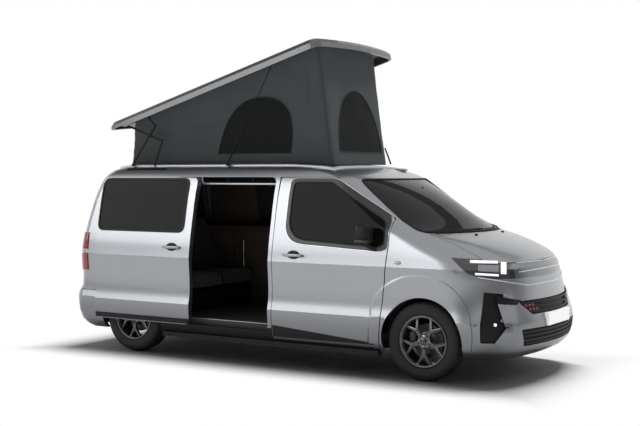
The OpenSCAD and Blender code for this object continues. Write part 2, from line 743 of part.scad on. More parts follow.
// The lid is drawn lowered, then turned up about the point that its linkage swings it round
pole = [-3339, 1620];
lid_rim = 1856;
lid_front = 645;
lid_skin = 26;
lid_ceiling = lid_rim + lid_depth - lid_skin;
lid_inner = 736;
module raised() translate([pole[0], 0, pole[1]]) rotate([0, -lid_tilt, 0])
  translate([-pole[0], 0, -pole[1]]) children();
lid_bow = 60;
lid_corner = 110;
module lid_plan(grow) offset(r = lid_corner + grow, $fn = zone_fn) offset(delta = -lid_corner) polygon(concat(
  [for (s = [1, -1]) [lid_front - lid_length, s * lid_half_width]],
  [for (k = [-1:0.25:1]) [lid_front + lid_bow * (1 - k * k), k * lid_half_width]]));
// Linkage points in x and z. All the pins lie on one level while the lid is down.
link_level = 1886;
base_rear = [-1870, link_level];
base_front = [-1595, link_level];
lid_rear_down = [-1827, link_level];
lid_fore_down = [-1505, link_level];
strut_foot = [-653, link_level];
strut_eye_down = [105, link_level];
function lifted(p) = let (dx = p[0] - pole[0], dz = p[1] - pole[1])
  [pole[0] + dx * cos(lid_tilt) - dz * sin(lid_tilt), pole[1] + dx * sin(lid_tilt) + dz * cos(lid_tilt)];
lid_rear = lifted(lid_rear_down);
lid_fore = lifted(lid_fore_down);
strut_eye = lifted(strut_eye_down);
rear_bar_end = [-1559, 2289];
lid_bar_end = [-1488, 2137];
// Distance of each plane of bars from the middle of the van
y_base_link = 662;
y_lid_bar = 672;
y_base_bar = 688;
y_lid_link = 698;
y_strut = 700;
lug_gauge = 6;

module bar(from, to, y) {
  run = to - from;
  translate([from[0], -y, from[1]]) rotate([0, -atan2(run[1], run[0]), 0]) {
    translate([0, -bar_gauge, -bar_width / 2]) cube([norm(run), bar_gauge, bar_width]);
    for (x = [0, norm(run)]) translate([x, 0, 0]) rotate([90, 0, 0]) cylinder(d = bar_width, h = bar_gauge);
  }
}
module pin(at, from, to) translate([at[0], -from, at[1]]) rotate([90, 0, 0])
  cylinder(r = pin_radius, h = to - from);
module pierced(at) difference() {
  children();
  translate([at[0], 0, at[1]]) rotate([90, 0, 0]) cylinder(r = pin_radius + seal, h = beyond);
}
module rear_bars() color(black) both_sides() pierced(base_rear) bar(base_rear, rear_bar_end, y_base_bar);
module rear_links() color(black) both_sides() pierced(base_front) bar(base_front, lid_bar_end, y_base_link);
module lid_bars() color(black) both_sides() pierced(lid_rear) bar(lid_rear, lid_bar_end, y_lid_bar);
module lid_links() color(black) both_sides() pierced(lid_fore) bar(lid_fore, rear_bar_end, y_lid_link);
module lug(at, y) {
  translate([at[0] - 14, -y - lug_gauge, at[1]]) cube([28, lug_gauge, lid_ceiling - at[1] + 1]);
  translate([at[0], -y, at[1]]) rotate([90, 0, 0]) cylinder(r = 14, h = lug_gauge);
}
// At its back the lid's edge clears the frame on the crown of the steel roof
frame_h = 14;
crown_radius = 6150;
crown_gap = frame_h + 2 * shut_line;
crown_front = -1800;
module crown() translate([crown_front, 0, roof_height + crown_gap - crown_radius]) rotate([0, -90, 0])
  cylinder(r = crown_radius, h = beyond, $fn = 720);
module roof_lid() color(paint) raised() {
  difference() {
    hull() {
      translate([0, 0, lid_rim]) linear_extrude(lid_depth - 40) lid_plan(0);
      translate([0, 0, lid_rim]) linear_extrude(lid_depth) lid_plan(-34);
    }
    translate([0, 0, lid_rim - 1]) linear_extrude(lid_ceiling - lid_rim + 1)
      lid_plan(lid_inner - lid_half_width);
    crown();
  }
  both_sides() {
    lug(lid_rear_down, y_lid_bar - seal - lug_gauge);
    pin(lid_rear_down, y_lid_bar - 2 * seal - lug_gauge, y_lid_bar + bar_gauge);
    lug(lid_fore_down, y_lid_link + bar_gauge + seal);
    pin(lid_fore_down, y_lid_link, y_lid_link + bar_gauge + 2);
    lug(strut_eye_down, y_strut + 14);
  }
}
frame_out = 658;
frame_in = 612;
frame_back = -2066;
frame_front = 556;
frame_edge = 46;
module roof_frame() color("white") difference() {
  intersection() {
    translate([frame_back, -frame_out, 1700]) cube([frame_front - frame_back, 2 * frame_out, 400]);
    body_room(0, -frame_h);
  }
  translate([frame_back + frame_edge, -frame_in, 1600])
    cube([frame_front - frame_back - 2 * frame_edge, 2 * frame_in, 600]);
  body_room(-seal, -seal);
}
// Posts inside the doors carry their hinges, and blocks beside the roof frame the pins of the lid's
// bars and struts
post = [1040, 792, 60, 690];
block_half = 13;
block_foot = 1875.5;
module base_pin(at, block_out, to) {
  translate([at[0] - block_half, -block_out, block_foot])
    cube([2 * block_half, block_out - frame_out, at[1] + 12 - block_foot]);
  pin(at, block_out - 2, to);
}
module hinges() color(metal) both_sides() {
  translate([post[0], -post[1] - post[2], floor_top]) cube([post[2], post[2], post[3]]);
  for (z = hinge_zs) {
    translate([hinge_x, -hinge_y, z]) cylinder(r = hinge_r, h = hinge_h);
    translate([hinge_x, -hinge_y, z]) rotate([0, 0, hinge_arm[2]])
      translate([0, -hinge_arm[1] / 2, 0]) cube([hinge_arm[0], hinge_arm[1], hinge_h]);
  }
  base_pin(base_rear, y_base_bar - seal, y_base_bar + bar_gauge);
  base_pin(base_front, y_base_link - seal, y_base_link + bar_gauge);
  base_pin(strut_foot, y_strut - barrel_radius - 2, y_strut + 6);
}

canvas_gauge = 6;
canvas_foot = 1790;
canvas_back = -2040;
canvas_front = 476;
canvas_lean = [50, 160];
canvas_top = [2360, 3045];
module canvas_side(in) polygon([[canvas_back + in, canvas_foot], [canvas_front - in, canvas_foot],
  [canvas_front - canvas_lean[1] - in, canvas_top[1] + in],
  [canvas_back + canvas_lean[0] + in, canvas_top[0] + in]]);
module canvas() color([0.30, 0.32, 0.33]) difference() {
  across(canvas_half_width) canvas_side(0);
  across(canvas_half_width - canvas_gauge) canvas_side(canvas_gauge);
  body_room(-seal, -frame_h - seal);
  raised() translate([-beyond, -beyond, lid_ceiling - seal]) cube(2 * beyond);
}
strut_run = strut_eye - strut_foot;
strut_length = norm(strut_run);
strut_angle = atan2(strut_run[1], strut_run[0]);
barrel_length = 640;
barrel_radius = 9;
module along_strut() translate([strut_foot[0], -y_strut, strut_foot[1]])
  rotate([0, 90 - strut_angle, 0]) children();
module strut_barrels() color(black) both_sides() pierced(strut_foot) along_strut() {
  difference() {
    translate([0, 0, 4]) cylinder(r = barrel_radius, h = barrel_length + 8);
    translate([0, 0, 30]) cylinder(r = 4.5, h = barrel_length);
  }
  rotate([90, 0, 0]) cylinder(r = barrel_radius, h = 12, center = true);
}
module strut_rods() color(metal) both_sides() along_strut() {
  translate([0, 0, strut_length - 700]) cylinder(r = 4, h = 694);
  translate([0, 0, strut_length]) rotate([90, 0, 0]) cylinder(r = 10, h = 10, center = true);
}

floor_pan();
right_side();
left_side();
roof_panel();
cowl();
front_wings();
front_bumper();
grilles();
headlamps();
rear_bumper();
tail_lamps();
windscreen();
side_glass();
sliding_door();
sliding_door_glass();
door_rails();
sill_trims();
front_plate();
dashboard();
steering_wheel();
front_seats();
rear_bench();
kitchen();
engine_block();
front_subframe();
rear_axle();
hinges();
wheel_liners();
roof_frame();
canvas();
right_door();
right_door_glass();
right_mirror();
left_door();
left_door_glass();
left_mirror();
bonnet();
tailgate();
tailgate_glass();
right_knuckle();
left_knuckle();
tyre_front_right();
rim_front_right();
tyre_front_left();
rim_front_left();
tyre_rear_right();
rim_rear_right();
tyre_rear_left();
rim_rear_left();
roof_lid();
strut_barrels();
strut_rods();
rear_bars();
rear_links();
lid_bars();
lid_links();
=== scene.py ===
import json
import math
import random
import bpy
from mathutils import Vector, Matrix
from mathutils.bvhtree import BVHTree
from mathutils.interpolate import poly_3d_calc

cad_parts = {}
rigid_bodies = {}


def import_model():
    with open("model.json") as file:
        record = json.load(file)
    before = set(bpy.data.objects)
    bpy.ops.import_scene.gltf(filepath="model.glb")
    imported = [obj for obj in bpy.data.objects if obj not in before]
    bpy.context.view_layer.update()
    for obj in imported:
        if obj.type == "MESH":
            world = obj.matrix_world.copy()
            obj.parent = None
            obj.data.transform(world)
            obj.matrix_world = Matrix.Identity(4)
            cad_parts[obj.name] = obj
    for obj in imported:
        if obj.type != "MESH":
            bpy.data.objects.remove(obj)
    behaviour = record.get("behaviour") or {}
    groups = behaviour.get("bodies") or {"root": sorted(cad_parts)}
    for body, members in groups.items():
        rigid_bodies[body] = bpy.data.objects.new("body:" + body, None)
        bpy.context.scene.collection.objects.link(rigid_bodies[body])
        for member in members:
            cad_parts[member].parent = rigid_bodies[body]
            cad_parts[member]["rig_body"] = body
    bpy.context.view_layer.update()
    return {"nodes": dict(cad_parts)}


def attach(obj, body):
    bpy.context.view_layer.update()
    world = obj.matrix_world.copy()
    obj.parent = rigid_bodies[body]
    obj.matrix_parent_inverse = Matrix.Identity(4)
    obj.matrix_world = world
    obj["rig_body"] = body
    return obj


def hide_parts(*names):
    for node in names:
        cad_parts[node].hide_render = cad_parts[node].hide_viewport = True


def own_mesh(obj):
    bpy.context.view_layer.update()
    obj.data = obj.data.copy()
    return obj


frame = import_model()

nodes = frame["nodes"]
scene = bpy.context.scene
scene.view_settings.view_transform = "Standard"
random.seed(7)

# camera, fitted to the photograph
view = {"place": (6.0452, -9.7969, 1.8151), "aim": (0.0, 0.0, 1.45), "lens": 64.69, "shift": (-0.0021, -0.0068),
        "focal": 1150.0, "centre": (321.34, 208.66)}
bpy.ops.object.camera_add(location=view["place"])
camera = bpy.context.object
camera.rotation_euler = (Vector(view["aim"]) - Vector(view["place"])).to_track_quat("-Z", "Y").to_euler()
camera.data.lens = view["lens"]
camera.data.sensor_width = 36
camera.data.shift_x, camera.data.shift_y = view["shift"]
camera.data.clip_end = 200
scene.camera = camera


def only(obj):
    bpy.ops.object.select_all(action="DESELECT")
    obj.hide_set(False)
    obj.select_set(True)
    bpy.context.view_layer.objects.active = obj
    return obj


# ---- materials


class Wire:  # a socket that takes part in expressions
    def __init__(self, tree, socket):
        self.tree, self.socket = tree, socket

    def make(self, kind, settings=None, inputs=None, out=0):
        node = self.tree.nodes.new(kind)
        for key, value in (settings or {}).items():
            if key == "stops":
                ramp = node.color_ramp
                while len(ramp.elements) < len(value):
                    ramp.elements.new(0.5)
                for stop, (place, colour) in zip(ramp.elements, value):
                    stop.position, stop.color = place, colour
            else:
                setattr(node, key, value)
        for key, value in (inputs or {}).items():
            if isinstance(value, Wire):
                self.tree.links.new(value.socket, node.inputs[key])
            else:
                node.inputs[key].default_value = value
        return Wire(self.tree, node.outputs[out])

    def maths(self, operation, other=None, flip=False):
        pair = [self] if other is None else ([other, self] if flip else [self, other])
        return self.make("ShaderNodeMath", {"operation": operation}, dict(enumerate(pair)))

    def __add__(self, other): return self.maths("ADD", other)
    def __radd__(self, other): return self.maths("ADD", other)
    def __sub__(self, other): return self.maths("SUBTRACT", other)
    def __rsub__(self, other): return self.maths("SUBTRACT", other, True)
    def __mul__(self, other): return self.maths("MULTIPLY", other)
    def __rmul__(self, other): return self.maths("MULTIPLY", other)
    def __truediv__(self, other): return self.maths("DIVIDE", other)
    def __gt__(self, other): return self.maths("GREATER_THAN", other)
    def __lt__(self, other): return self.maths("LESS_THAN", other)
    def mix(self, low, high):
        return self.make("ShaderNodeMix", {"data_type": "RGBA"}, {0: self, 6: low, 7: high}, 2)
    def ramp(self, low, high):
        return self.make("ShaderNodeMapRange", {"interpolation_type": "SMOOTHSTEP"}, {0: self, 1: low, 2: high})


def newMaterial(name):
    material = bpy.data.materials.new(name)
    material.use_nodes = True
    tree = material.node_tree
    surface = tree.nodes["Principled BSDF"]
    coords = tree.nodes.new("ShaderNodeTexCoord")
    return material, surface, Wire(tree, coords.outputs["Object"])


def setSockets(surface, **values):
    names = {"colour": "Base Color", "rough": "Roughness", "metal": "Metallic", "coat": "Coat Weight",
             "coatRough": "Coat Roughness", "glow": "Emission Color", "glowStrength": "Emission Strength",
             "specular": "Specular IOR Level", "sheen": "Sheen Weight", "alpha": "Alpha", "normal": "Normal",
             "through": "Transmission Weight", "ior": "IOR"}
    for key, value in values.items():
        socket = surface.inputs[names[key]]
        if isinstance(value, Wire):
            value.tree.links.new(value.socket, socket)
        else:
            socket.default_value = value


def bumpFrom(height, strength, distance):
    return height.make("ShaderNodeBump", None, {"Strength": strength, "Distance": distance, "Height": height})


def speckled(name, colour, rough, metal=0.0, grain=300.0, depth=0.0, spread=0.08, coat=0.0, sheen=0.0, patch=9.0, gloss=0.5):
    # moulded or painted finish: fine grain in the bump, soft patches in colour and gloss
    material, surface, place = newMaterial(name)
    fine = place.make("ShaderNodeTexNoise", None, {"Vector": place, "Scale": grain, "Detail": 2.0})
    broad = place.make("ShaderNodeTexNoise", None, {"Vector": place, "Scale": patch, "Detail": 3.0})
    low = [c * (1 - spread) for c in colour] + [1]
    high = [min(1, c * (1 + spread)) for c in colour] + [1]
    setSockets(surface, colour=broad.mix(low, high), rough=broad * (2 * spread * rough) + rough * (1 - spread),
               metal=metal, coat=coat, sheen=sheen, specular=gloss)
    if depth:
        setSockets(surface, normal=bumpFrom(fine, 0.5, depth))
    return material


def silverPaint(name, colour, rough):
    material, surface, place = newMaterial(name)
    flake = place.make("ShaderNodeTexVoronoi", None, {"Vector": place, "Scale": 900.0}, 1)
    shade = flake.make("ShaderNodeSeparateColor", None, {0: flake}, 0)
    broad = place.make("ShaderNodeTexNoise", None, {"Vector": place, "Scale": 1.7, "Detail": 2.0})
    low = [c * 0.95 for c in colour] + [1]
    high = [c * 1.04 for c in colour] + [1]
    # painted shade: below a height of 0.36 m the colour falls to 0.52 of itself and comes back to full by 0.68 m, so
    # the lower body is painted darker
    height = place.make("ShaderNodeSeparateXYZ", None, {0: place}, 2)
    tone = (shade * 0.5 + broad * 0.5).mix(low, high)
    paintedLowShade = (shade * 0.5 + broad * 0.5).mix([c * 0.52 for c in low[:3]] + [1], [c * 0.52 for c in high[:3]] + [1])
    setSockets(surface, colour=height.ramp(0.36, 0.68).mix(paintedLowShade, tone), metal=0.92,
               rough=rough + shade * 0.06, coat=0.35, coatRough=0.04)
    return material


paint = silverPaint("silverPaint", (0.345, 0.355, 0.375), 0.29)
lidPaint = silverPaint("lidPaint", (0.15, 0.152, 0.157), 0.42)
blackSatin = speckled("blackSatin", (0.012, 0.0125, 0.014), 0.52, grain=900, depth=0.0004, gloss=0.2)
claddingBlack = speckled("claddingBlack", (0.032, 0.033, 0.035), 0.6, grain=600, depth=0.0006, gloss=0.25)
glossBlack = speckled("glossBlack", (0.012, 0.012, 0.014), 0.12, coat=0.6, patch=4)
liningDark = speckled("liningDark", (0.028, 0.026, 0.025), 0.85, grain=700, depth=0.0008, sheen=0.2)
underSteel = speckled("underSteel", (0.05, 0.05, 0.055), 0.6, metal=0.4, grain=200, depth=0.0006)
satinGrey = speckled("satinGrey", (0.32, 0.33, 0.34), 0.36, metal=0.8, patch=20)
brightLine = speckled("brightLine", (0.62, 0.63, 0.65), 0.22, metal=0.9, patch=20)
brightRail = speckled("brightRail", (0.80, 0.81, 0.82), 0.35, metal=0.25, patch=12)
castAlloy = speckled("castAlloy", (0.085, 0.085, 0.09), 0.34, metal=0.7, grain=500, depth=0.0002, coat=0.4)
discSteel = speckled("discSteel", (0.34, 0.33, 0.32), 0.38, metal=0.9, grain=150, depth=0.0003, patch=30)
bandDark = speckled("bandDark", (0.055, 0.056, 0.058), 0.38, metal=0.5, patch=20)
bandGrey = silverPaint("bandGrey", (0.20, 0.205, 0.215), 0.24)
laminate = speckled("laminate", (0.100, 0.076, 0.060), 0.5, grain=60, depth=0.0001, spread=0.14, patch=5)
worktop = speckled("worktop", (0.045, 0.042, 0.04), 0.4, grain=400, spread=0.2, patch=60)
platePaintedGlow = speckled("platePaintedGlow", (0.86, 0.86, 0.85), 0.35, grain=300, spread=0.02)
vinylFloor = speckled("vinylFloor", (0.035, 0.033, 0.032), 0.6, grain=240, depth=0.0005, spread=0.25, patch=80)
barBlack = speckled("barBlack", (0.006, 0.006, 0.0065), 0.6, grain=500, depth=0.0002, gloss=0.15)
chipRed = speckled("chipRed", (0.24, 0.045, 0.03), 0.4, patch=30)
lampWhite = speckled("lampWhite", (0.88, 0.90, 0.92), 0.2, spread=0.02, coat=0.5)
for finish, strength in ((platePaintedGlow, 0.35), (lampWhite, 0.75)):  # the plate gets a painted glow though it is no lamp; the lamp bars are lit lamps
    inputs = finish.node_tree.nodes["Principled BSDF"].inputs
    inputs["Emission Color"].default_value = (1, 1, 1, 1)
    inputs["Emission Strength"].default_value = strength


def darkGlass(name, tint, cover):
    # tinted pane: dark glossy surface over a share of clear view
    material, surface, place = newMaterial(name)
    tree = material.node_tree
    streak = place.make("ShaderNodeTexNoise", None, {"Vector": place, "Scale": 2.2, "Detail": 2.0})
    setSockets(surface, colour=streak.mix([c * 0.8 for c in tint] + [1], [c * 1.25 for c in tint] + [1]),
               rough=0.03 + streak * 0.03, specular=0.10)
    clear = tree.nodes.new("ShaderNodeBsdfTransparent")
    clear.inputs[0].default_value = (0.42, 0.45, 0.46, 1)
    blend = tree.nodes.new("ShaderNodeMixShader")
    blend.inputs[0].default_value = cover
    tree.links.new(clear.outputs[0], blend.inputs[1])
    tree.links.new(surface.outputs[0], blend.inputs[2])
    tree.links.new(blend.outputs[0], tree.nodes["Material Output"].inputs[0])
    return material


privacyGlass = darkGlass("privacyGlass", (0.010, 0.0105, 0.011), 0.84)
borderGlass = darkGlass("borderGlass", (0.010, 0.0105, 0.011), 1.0)
cabGlass = darkGlass("cabGlass", (0.010, 0.0105, 0.011), 0.80)
screenGlass = darkGlass("screenGlass", (0.030, 0.031, 0.032), 0.72)


def lensMaterial(name, colour, cover, ribs):
    material, surface, place = newMaterial(name)
    tree = material.node_tree
    wave = place.make("ShaderNodeTexWave", {"bands_direction": "Z"}, {"Vector": place, "Scale": ribs, "Distortion": 0.0}, 1)
    setSockets(surface, colour=wave.mix([c * 0.7 for c in colour] + [1], [min(1, c * 1.3) for c in colour] + [1]),
               rough=0.06, coat=1.0, coatRough=0.02, normal=bumpFrom(wave, 0.3, 0.001))
    clear = tree.nodes.new("ShaderNodeBsdfTransparent")
    blend = tree.nodes.new("ShaderNodeMixShader")
    blend.inputs[0].default_value = cover
    tree.links.new(clear.outputs[0], blend.inputs[1])
    tree.links.new(surface.outputs[0], blend.inputs[2])
    tree.links.new(blend.outputs[0], tree.nodes["Material Output"].inputs[0])
    return material


headLens = lensMaterial("headLens", (0.050, 0.052, 0.056), 1.0, 40)
redLens = lensMaterial("redLens", (0.42, 0.006, 0.008), 1.0, 60)
paleLens = lensMaterial("paleLens", (0.62, 0.42, 0.40), 1.0, 60)
print("materials ready")

# ---- smooth skin: the body's level outlines, which give the panels their shading
# columns: height, nose, its bow, corner width and depth, half width, tail, its bow, tail corner
bodyRows = [
    (215, 2330, 170, 260, 330, 880, 2345, 45, 90), (250, 2405, 190, 270, 340, 916, 2405, 45, 95),
    (300, 2455, 200, 280, 350, 938, 2455, 45, 100), (380, 2482, 205, 290, 360, 950, 2484, 45, 100),
    (460, 2491.5, 210, 290, 370, 957, 2491.5, 45, 100), (535, 2482, 212, 290, 370, 960, 2491.5, 45, 100),
    (585, 2467, 214, 290, 372, 947, 2487, 45, 100), (640, 2450, 216, 290, 375, 938, 2450, 45, 100),
    (720, 2422, 218, 295, 375, 935, 2446, 45, 100), (800, 2397, 220, 300, 375, 938, 2445, 45, 100),
    (880, 2380, 222, 300, 378, 944, 2444, 45, 100), (950, 2366, 224, 300, 380, 949, 2443, 45, 100),
    (985, 2356, 226, 305, 385, 951, 2442, 45, 100), (1020, 2338, 230, 320, 400, 946, 2440, 45, 100),
    (1060, 2304, 236, 335, 420, 941, 2437, 45, 100), (1100, 2248, 242, 345, 440, 936, 2433, 45, 100),
    (1140, 2168, 246, 345, 445, 930, 2428, 45, 100), (1180, 2075, 248, 335, 430, 923, 2423, 45, 100),
    (1215, 1975, 252, 310, 380, 917, 2418, 45, 100), (1250, 1862, 290, 230, 280, 910, 2412, 45, 100),
    (1300, 1742, 350, 150, 190, 901, 2403, 45, 100), (1385, 1600, 385, 120, 160, 884, 2386, 45, 100),
    (1500, 1425, 375, 110, 150, 861, 2358, 45, 100), (1600, 1262, 335, 100, 135, 838, 2330, 45, 100),
    (1700, 1065, 240, 95, 125, 808, 2297, 45, 105), (1750, 945, 165, 105, 125, 789, 2276, 45, 110),
    (1790, 832, 125, 130, 150, 769, 2254, 50, 125), (1830, 702, 105, 175, 190, 740, 2221, 55, 150),
    (1860, 560, 100, 235, 250, 698, 2171, 60, 185), (1880, 380, 100, 290, 310, 640, 2091, 70, 215),
    (1892, 130, 110, 300, 320, 560, 1970, 80, 220), (1900, -380, 110, 240, 260, 380, 1500, 60, 180)]
skin = {"noseSteps": 16, "cornerSteps": 14, "sideSteps": 10, "tailSteps": 8, "camber": 0.02, "creases": (535, 985)}


def halfOutline(row):
    height, nose, bow, wide, deep, half, tail, tailBow, round_ = row
    noseX = lambda y: nose - bow * (y / half) ** 2
    tailX = lambda y: tailBow * (y / half) ** 2 - tail
    flat, back = half - wide, half - round_
    start, end = noseX(half) - deep, tailX(half) + round_
    points = []
    for i in range(skin["noseSteps"] + 1):
        y = flat * i / skin["noseSteps"]
        points.append((noseX(y), y))
    for i in range(1, skin["cornerSteps"] + 1):
        a = math.pi / 2 * i / skin["cornerSteps"]
        y = flat + wide * math.sin(a)
        points.append((noseX(y) - deep * (1 - math.cos(a)), y))
    for i in range(1, skin["sideSteps"]):
        points.append((start + (end - start) * i / skin["sideSteps"], half))
    for i in range(skin["cornerSteps"] + 1):
        a = math.pi / 2 * i / skin["cornerSteps"]
        y = back + round_ * math.cos(a)
        points.append((tailX(y) + round_ * (1 - math.sin(a)), y))
    for i in range(1, skin["tailSteps"] + 1):
        y = back * (1 - i / skin["tailSteps"])
        points.append((tailX(y), y))
    return [(x, y * (1 - skin["camber"] * ((x + 200) / 2200) ** 2)) for x, y in points]


def buildSkin():
    rings = []
    for row in bodyRows:
        half = halfOutline(row)
        ring = half + [(x, -y) for x, y in reversed(half[1:-1])]
        rings.append([(x / 1000, y / 1000, row[0] / 1000) for x, y in ring])
    count = len(rings[0])
    points = [p for ring in rings for p in ring]
    faces = []
    for level in range(len(rings) - 1):
        for k in range(count):
            a, b = level * count + k, level * count + (k + 1) % count
            faces.append((a, b, b + count, a + count))
    faces.append([(len(rings) - 1) * count + k for k in range(count)])
    mesh = bpy.data.meshes.new("skinGuide")
    mesh.from_pydata(points, [], faces)
    mesh.polygons.foreach_set("use_smooth", [True] * len(mesh.polygons))
    obj = bpy.data.objects.new("skinGuide", mesh)
    scene.collection.objects.link(obj)
    only(obj)
    bpy.ops.object.mode_set(mode="EDIT")
    bpy.ops.mesh.select_all(action="SELECT")
    bpy.ops.mesh.normals_make_consistent(inside=False)
    bpy.ops.object.mode_set(mode="OBJECT")
    creaseZ = [c / 1000 for c in skin["creases"]]
    for edge in mesh.edges:
        heights = [mesh.vertices[v].co.z for v in edge.vertices]
        edge.use_edge_sharp = any(all(abs(h - z) < 1e-4 for h in heights) for z in creaseZ)
    mesh.update()
    return obj


skinObj = buildSkin()
skinMesh = skinObj.data
skinTree = BVHTree.FromPolygons([v.co.copy() for v in skinMesh.vertices], [tuple(p.vertices) for p in skinMesh.polygons])
skinCorners = [c.vector.copy() for c in skinMesh.corner_normals]


def skinNormal(point):
    place, _, index, gap = skinTree.find_nearest(point)
    face = skinMesh.polygons[index]
    corners = [skinMesh.vertices[v].co for v in face.vertices]
    weights = poly_3d_calc(corners, place)
    total = Vector()
    for weight, loop in zip(weights, face.loop_indices):
        total += skinCorners[loop] * weight
    return total.normalized(), gap


slideShift = Vector((-0.868, -0.074, 0.0))


def dressPanel(node, finish, inside=None, shift=Vector(), third=None, where=None):
    # a copy of a panel, merged, with the smooth skin's shading on its outer face
    source = nodes[node]
    panel = source.copy()
    panel.data = source.data.copy()
    panel.parent = None
    panel.name = node + "_skin"
    for key in list(panel.keys()):
        del panel[key]
    scene.collection.objects.link(panel)
    only(panel)
    bpy.ops.object.mode_set(mode="EDIT")
    bpy.ops.mesh.select_all(action="SELECT")
    bpy.ops.mesh.remove_doubles(threshold=0.00002)
    bpy.ops.object.mode_set(mode="OBJECT")
    mesh = panel.data
    mesh.materials.clear()
    mesh.materials.append(finish)
    mesh.materials.append(inside or finish)
    mesh.materials.append(third or finish)
    outer = []
    around = [[] for _ in mesh.vertices]
    for face in mesh.polygons:
        guide, gap = skinNormal(face.center - shift)
        lie = guide.dot(face.normal)
        outer.append(lie > 0.93 and gap < 0.016)
        face.material_index = 1 if lie < -0.3 else (2 if where and where(face.center) else 0)
        face.use_smooth = True
        for v in face.vertices:
            around[v].append(face.index)
    normals = []
    for face in mesh.polygons:
        for loop in face.loop_indices:
            v = mesh.loops[loop].vertex_index
            point = mesh.vertices[v].co
            if outer[face.index]:
                step = (face.center - point)
                inward = point + step.normalized() * min(0.001, step.length / 2)
                normals.append(skinNormal(inward - shift)[0])
            else:
                total = Vector()
                for other in around[v]:
                    if not outer[other] and mesh.polygons[other].normal.dot(face.normal) > 0.82:
                        total += mesh.polygons[other].normal * mesh.polygons[other].area
                normals.append(total.normalized() if total.length > 1e-12 else face.normal.copy())
    mesh.normals_split_custom_set(normals)
    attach(panel, source["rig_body"])
    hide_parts(node)
    return panel


sill = lambda c: -1.28 < c.x < 1.25 and c.z < 0.345
for name in ("roof_panel", "tailgate"):
    dressPanel(name, paint, liningDark)
for name in ("right_side", "left_side", "right_door", "left_door"):
    dressPanel(name, paint, liningDark, Vector(), blackSatin, sill if "side" in name else None)
for name in ("front_wings", "front_bumper", "rear_bumper", "bonnet"):
    dressPanel(name, paint, underSteel)
dressPanel("sliding_door", paint, liningDark, slideShift)
dressPanel("side_glass", privacyGlass, None, Vector(), paint, lambda c: c.x > 1.2)
dressPanel("tailgate_glass", privacyGlass)
for name in ("right_door_glass", "left_door_glass"):
    dressPanel(name, cabGlass)
dressPanel("windscreen", screenGlass)
dressPanel("sliding_door_glass", privacyGlass, None, slideShift)
dressPanel("headlamps", headLens)
dressPanel("tail_lamps", redLens)
dressPanel("grilles", blackSatin, None, Vector(), bandGrey, lambda c: c.z > 0.865)
print("panels dressed")

# ---- plain finishes on the rigid nodes that keep their own shape
finishes = {"floor_pan": vinylFloor, "cowl": blackSatin, "door_rails": paint, "sill_trims": blackSatin,
            "front_plate": platePaintedGlow, "dashboard": blackSatin, "steering_wheel": blackSatin, "kitchen": laminate,
            "engine_block": underSteel, "front_subframe": underSteel, "rear_axle": underSteel, "hinges": underSteel,
            "wheel_liners": claddingBlack, "roof_frame": brightRail, "right_mirror": blackSatin, "left_mirror": blackSatin,
            "right_knuckle": discSteel, "left_knuckle": discSteel, "roof_lid": lidPaint, "strut_barrels": barBlack,
            "strut_rods": barBlack, "rear_bars": barBlack, "rear_links": barBlack, "lid_bars": barBlack, "lid_links": barBlack}
for side in ("front_right", "front_left", "rear_right", "rear_left"):
    finishes["rim_" + side] = castAlloy
    finishes["tyre_" + side] = claddingBlack
for name, finish in finishes.items():
    nodes[name].data.materials.clear()
    nodes[name].data.materials.append(finish)

# ---- stage: pale floor running up into a white wall behind, soft studio light
stageLook = {"floor": 0.80, "room": 0.06, "plot": (2.05, 0.60), "lit": (0.32, 0.95), "wallReach": 50.0, "wallHalf": 80.0, "wallTop": 34.0,
             "key": ((0.3, 4.4, 12.0), (9.0, 1.6), 36.0, "diffuse"), "top": ((3.5, -1.5, 9.0), (24.0, 21.0), 0.72, "glossy"),
             "near": ((-6.5, -10.0, 5.9), (13.0, 6.6), 3.3, "glossy"), "cabin": ((-0.7, -0.2, 1.70), (0.9, 0.3), 0.35, "both")}
material, surface, place = newMaterial("paleFloor")
spots = place.make("ShaderNodeSeparateXYZ", None, {0: place})
# painted light: the floor and wall glow white away from the van; inside the plot rectangle round it the glow is cut,
# and it ramps up over the lit distances, so the floor round the van is painted darker and its shadow is cut off where
# the glow begins
fromSide = [Wire(material.node_tree, spots.socket.node.outputs[k]).maths("ABSOLUTE") - half for k, half in enumerate(stageLook["plot"])]
floorGlowMask = fromSide[0].maths("MAXIMUM", fromSide[1]).ramp(*stageLook["lit"])
setSockets(surface, colour=floorGlowMask.mix((stageLook["floor"],) * 3 + (1,), (0, 0, 0, 1)),
           glow=floorGlowMask.mix((0, 0, 0, 1), (1, 1, 1, 1)), glowStrength=1.0, rough=0.9, specular=0.0)
bpy.ops.object.select_all(action="DESELECT")
bpy.ops.mesh.primitive_plane_add(size=160)
floor = bpy.context.object
floor.name = "studioFloor"
floor.data.materials.append(material)
bpy.ops.mesh.primitive_cylinder_add(vertices=96, radius=stageLook["wallReach"], depth=stageLook["wallTop"], end_fill_type="NOTHING",
                                    location=(0, 0, stageLook["wallTop"] / 2))
wall = bpy.context.object
wall.name = "studioWall"
bpy.ops.object.transform_apply(location=True, rotation=True, scale=True)
behind = -Vector((view["place"][0], view["place"][1], 0)).normalized()
only(wall)
bpy.ops.object.mode_set(mode="EDIT")
bpy.ops.mesh.select_all(action="DESELECT")
bpy.ops.object.mode_set(mode="OBJECT")
for face in wall.data.polygons:
    flat = Vector((face.center.x, face.center.y, 0)).normalized()
    face.select = flat.dot(behind) < math.cos(math.radians(stageLook["wallHalf"]))
bpy.ops.object.mode_set(mode="EDIT")
bpy.ops.mesh.delete(type="FACE")
bpy.ops.object.mode_set(mode="OBJECT")
wall.data.materials.append(material)

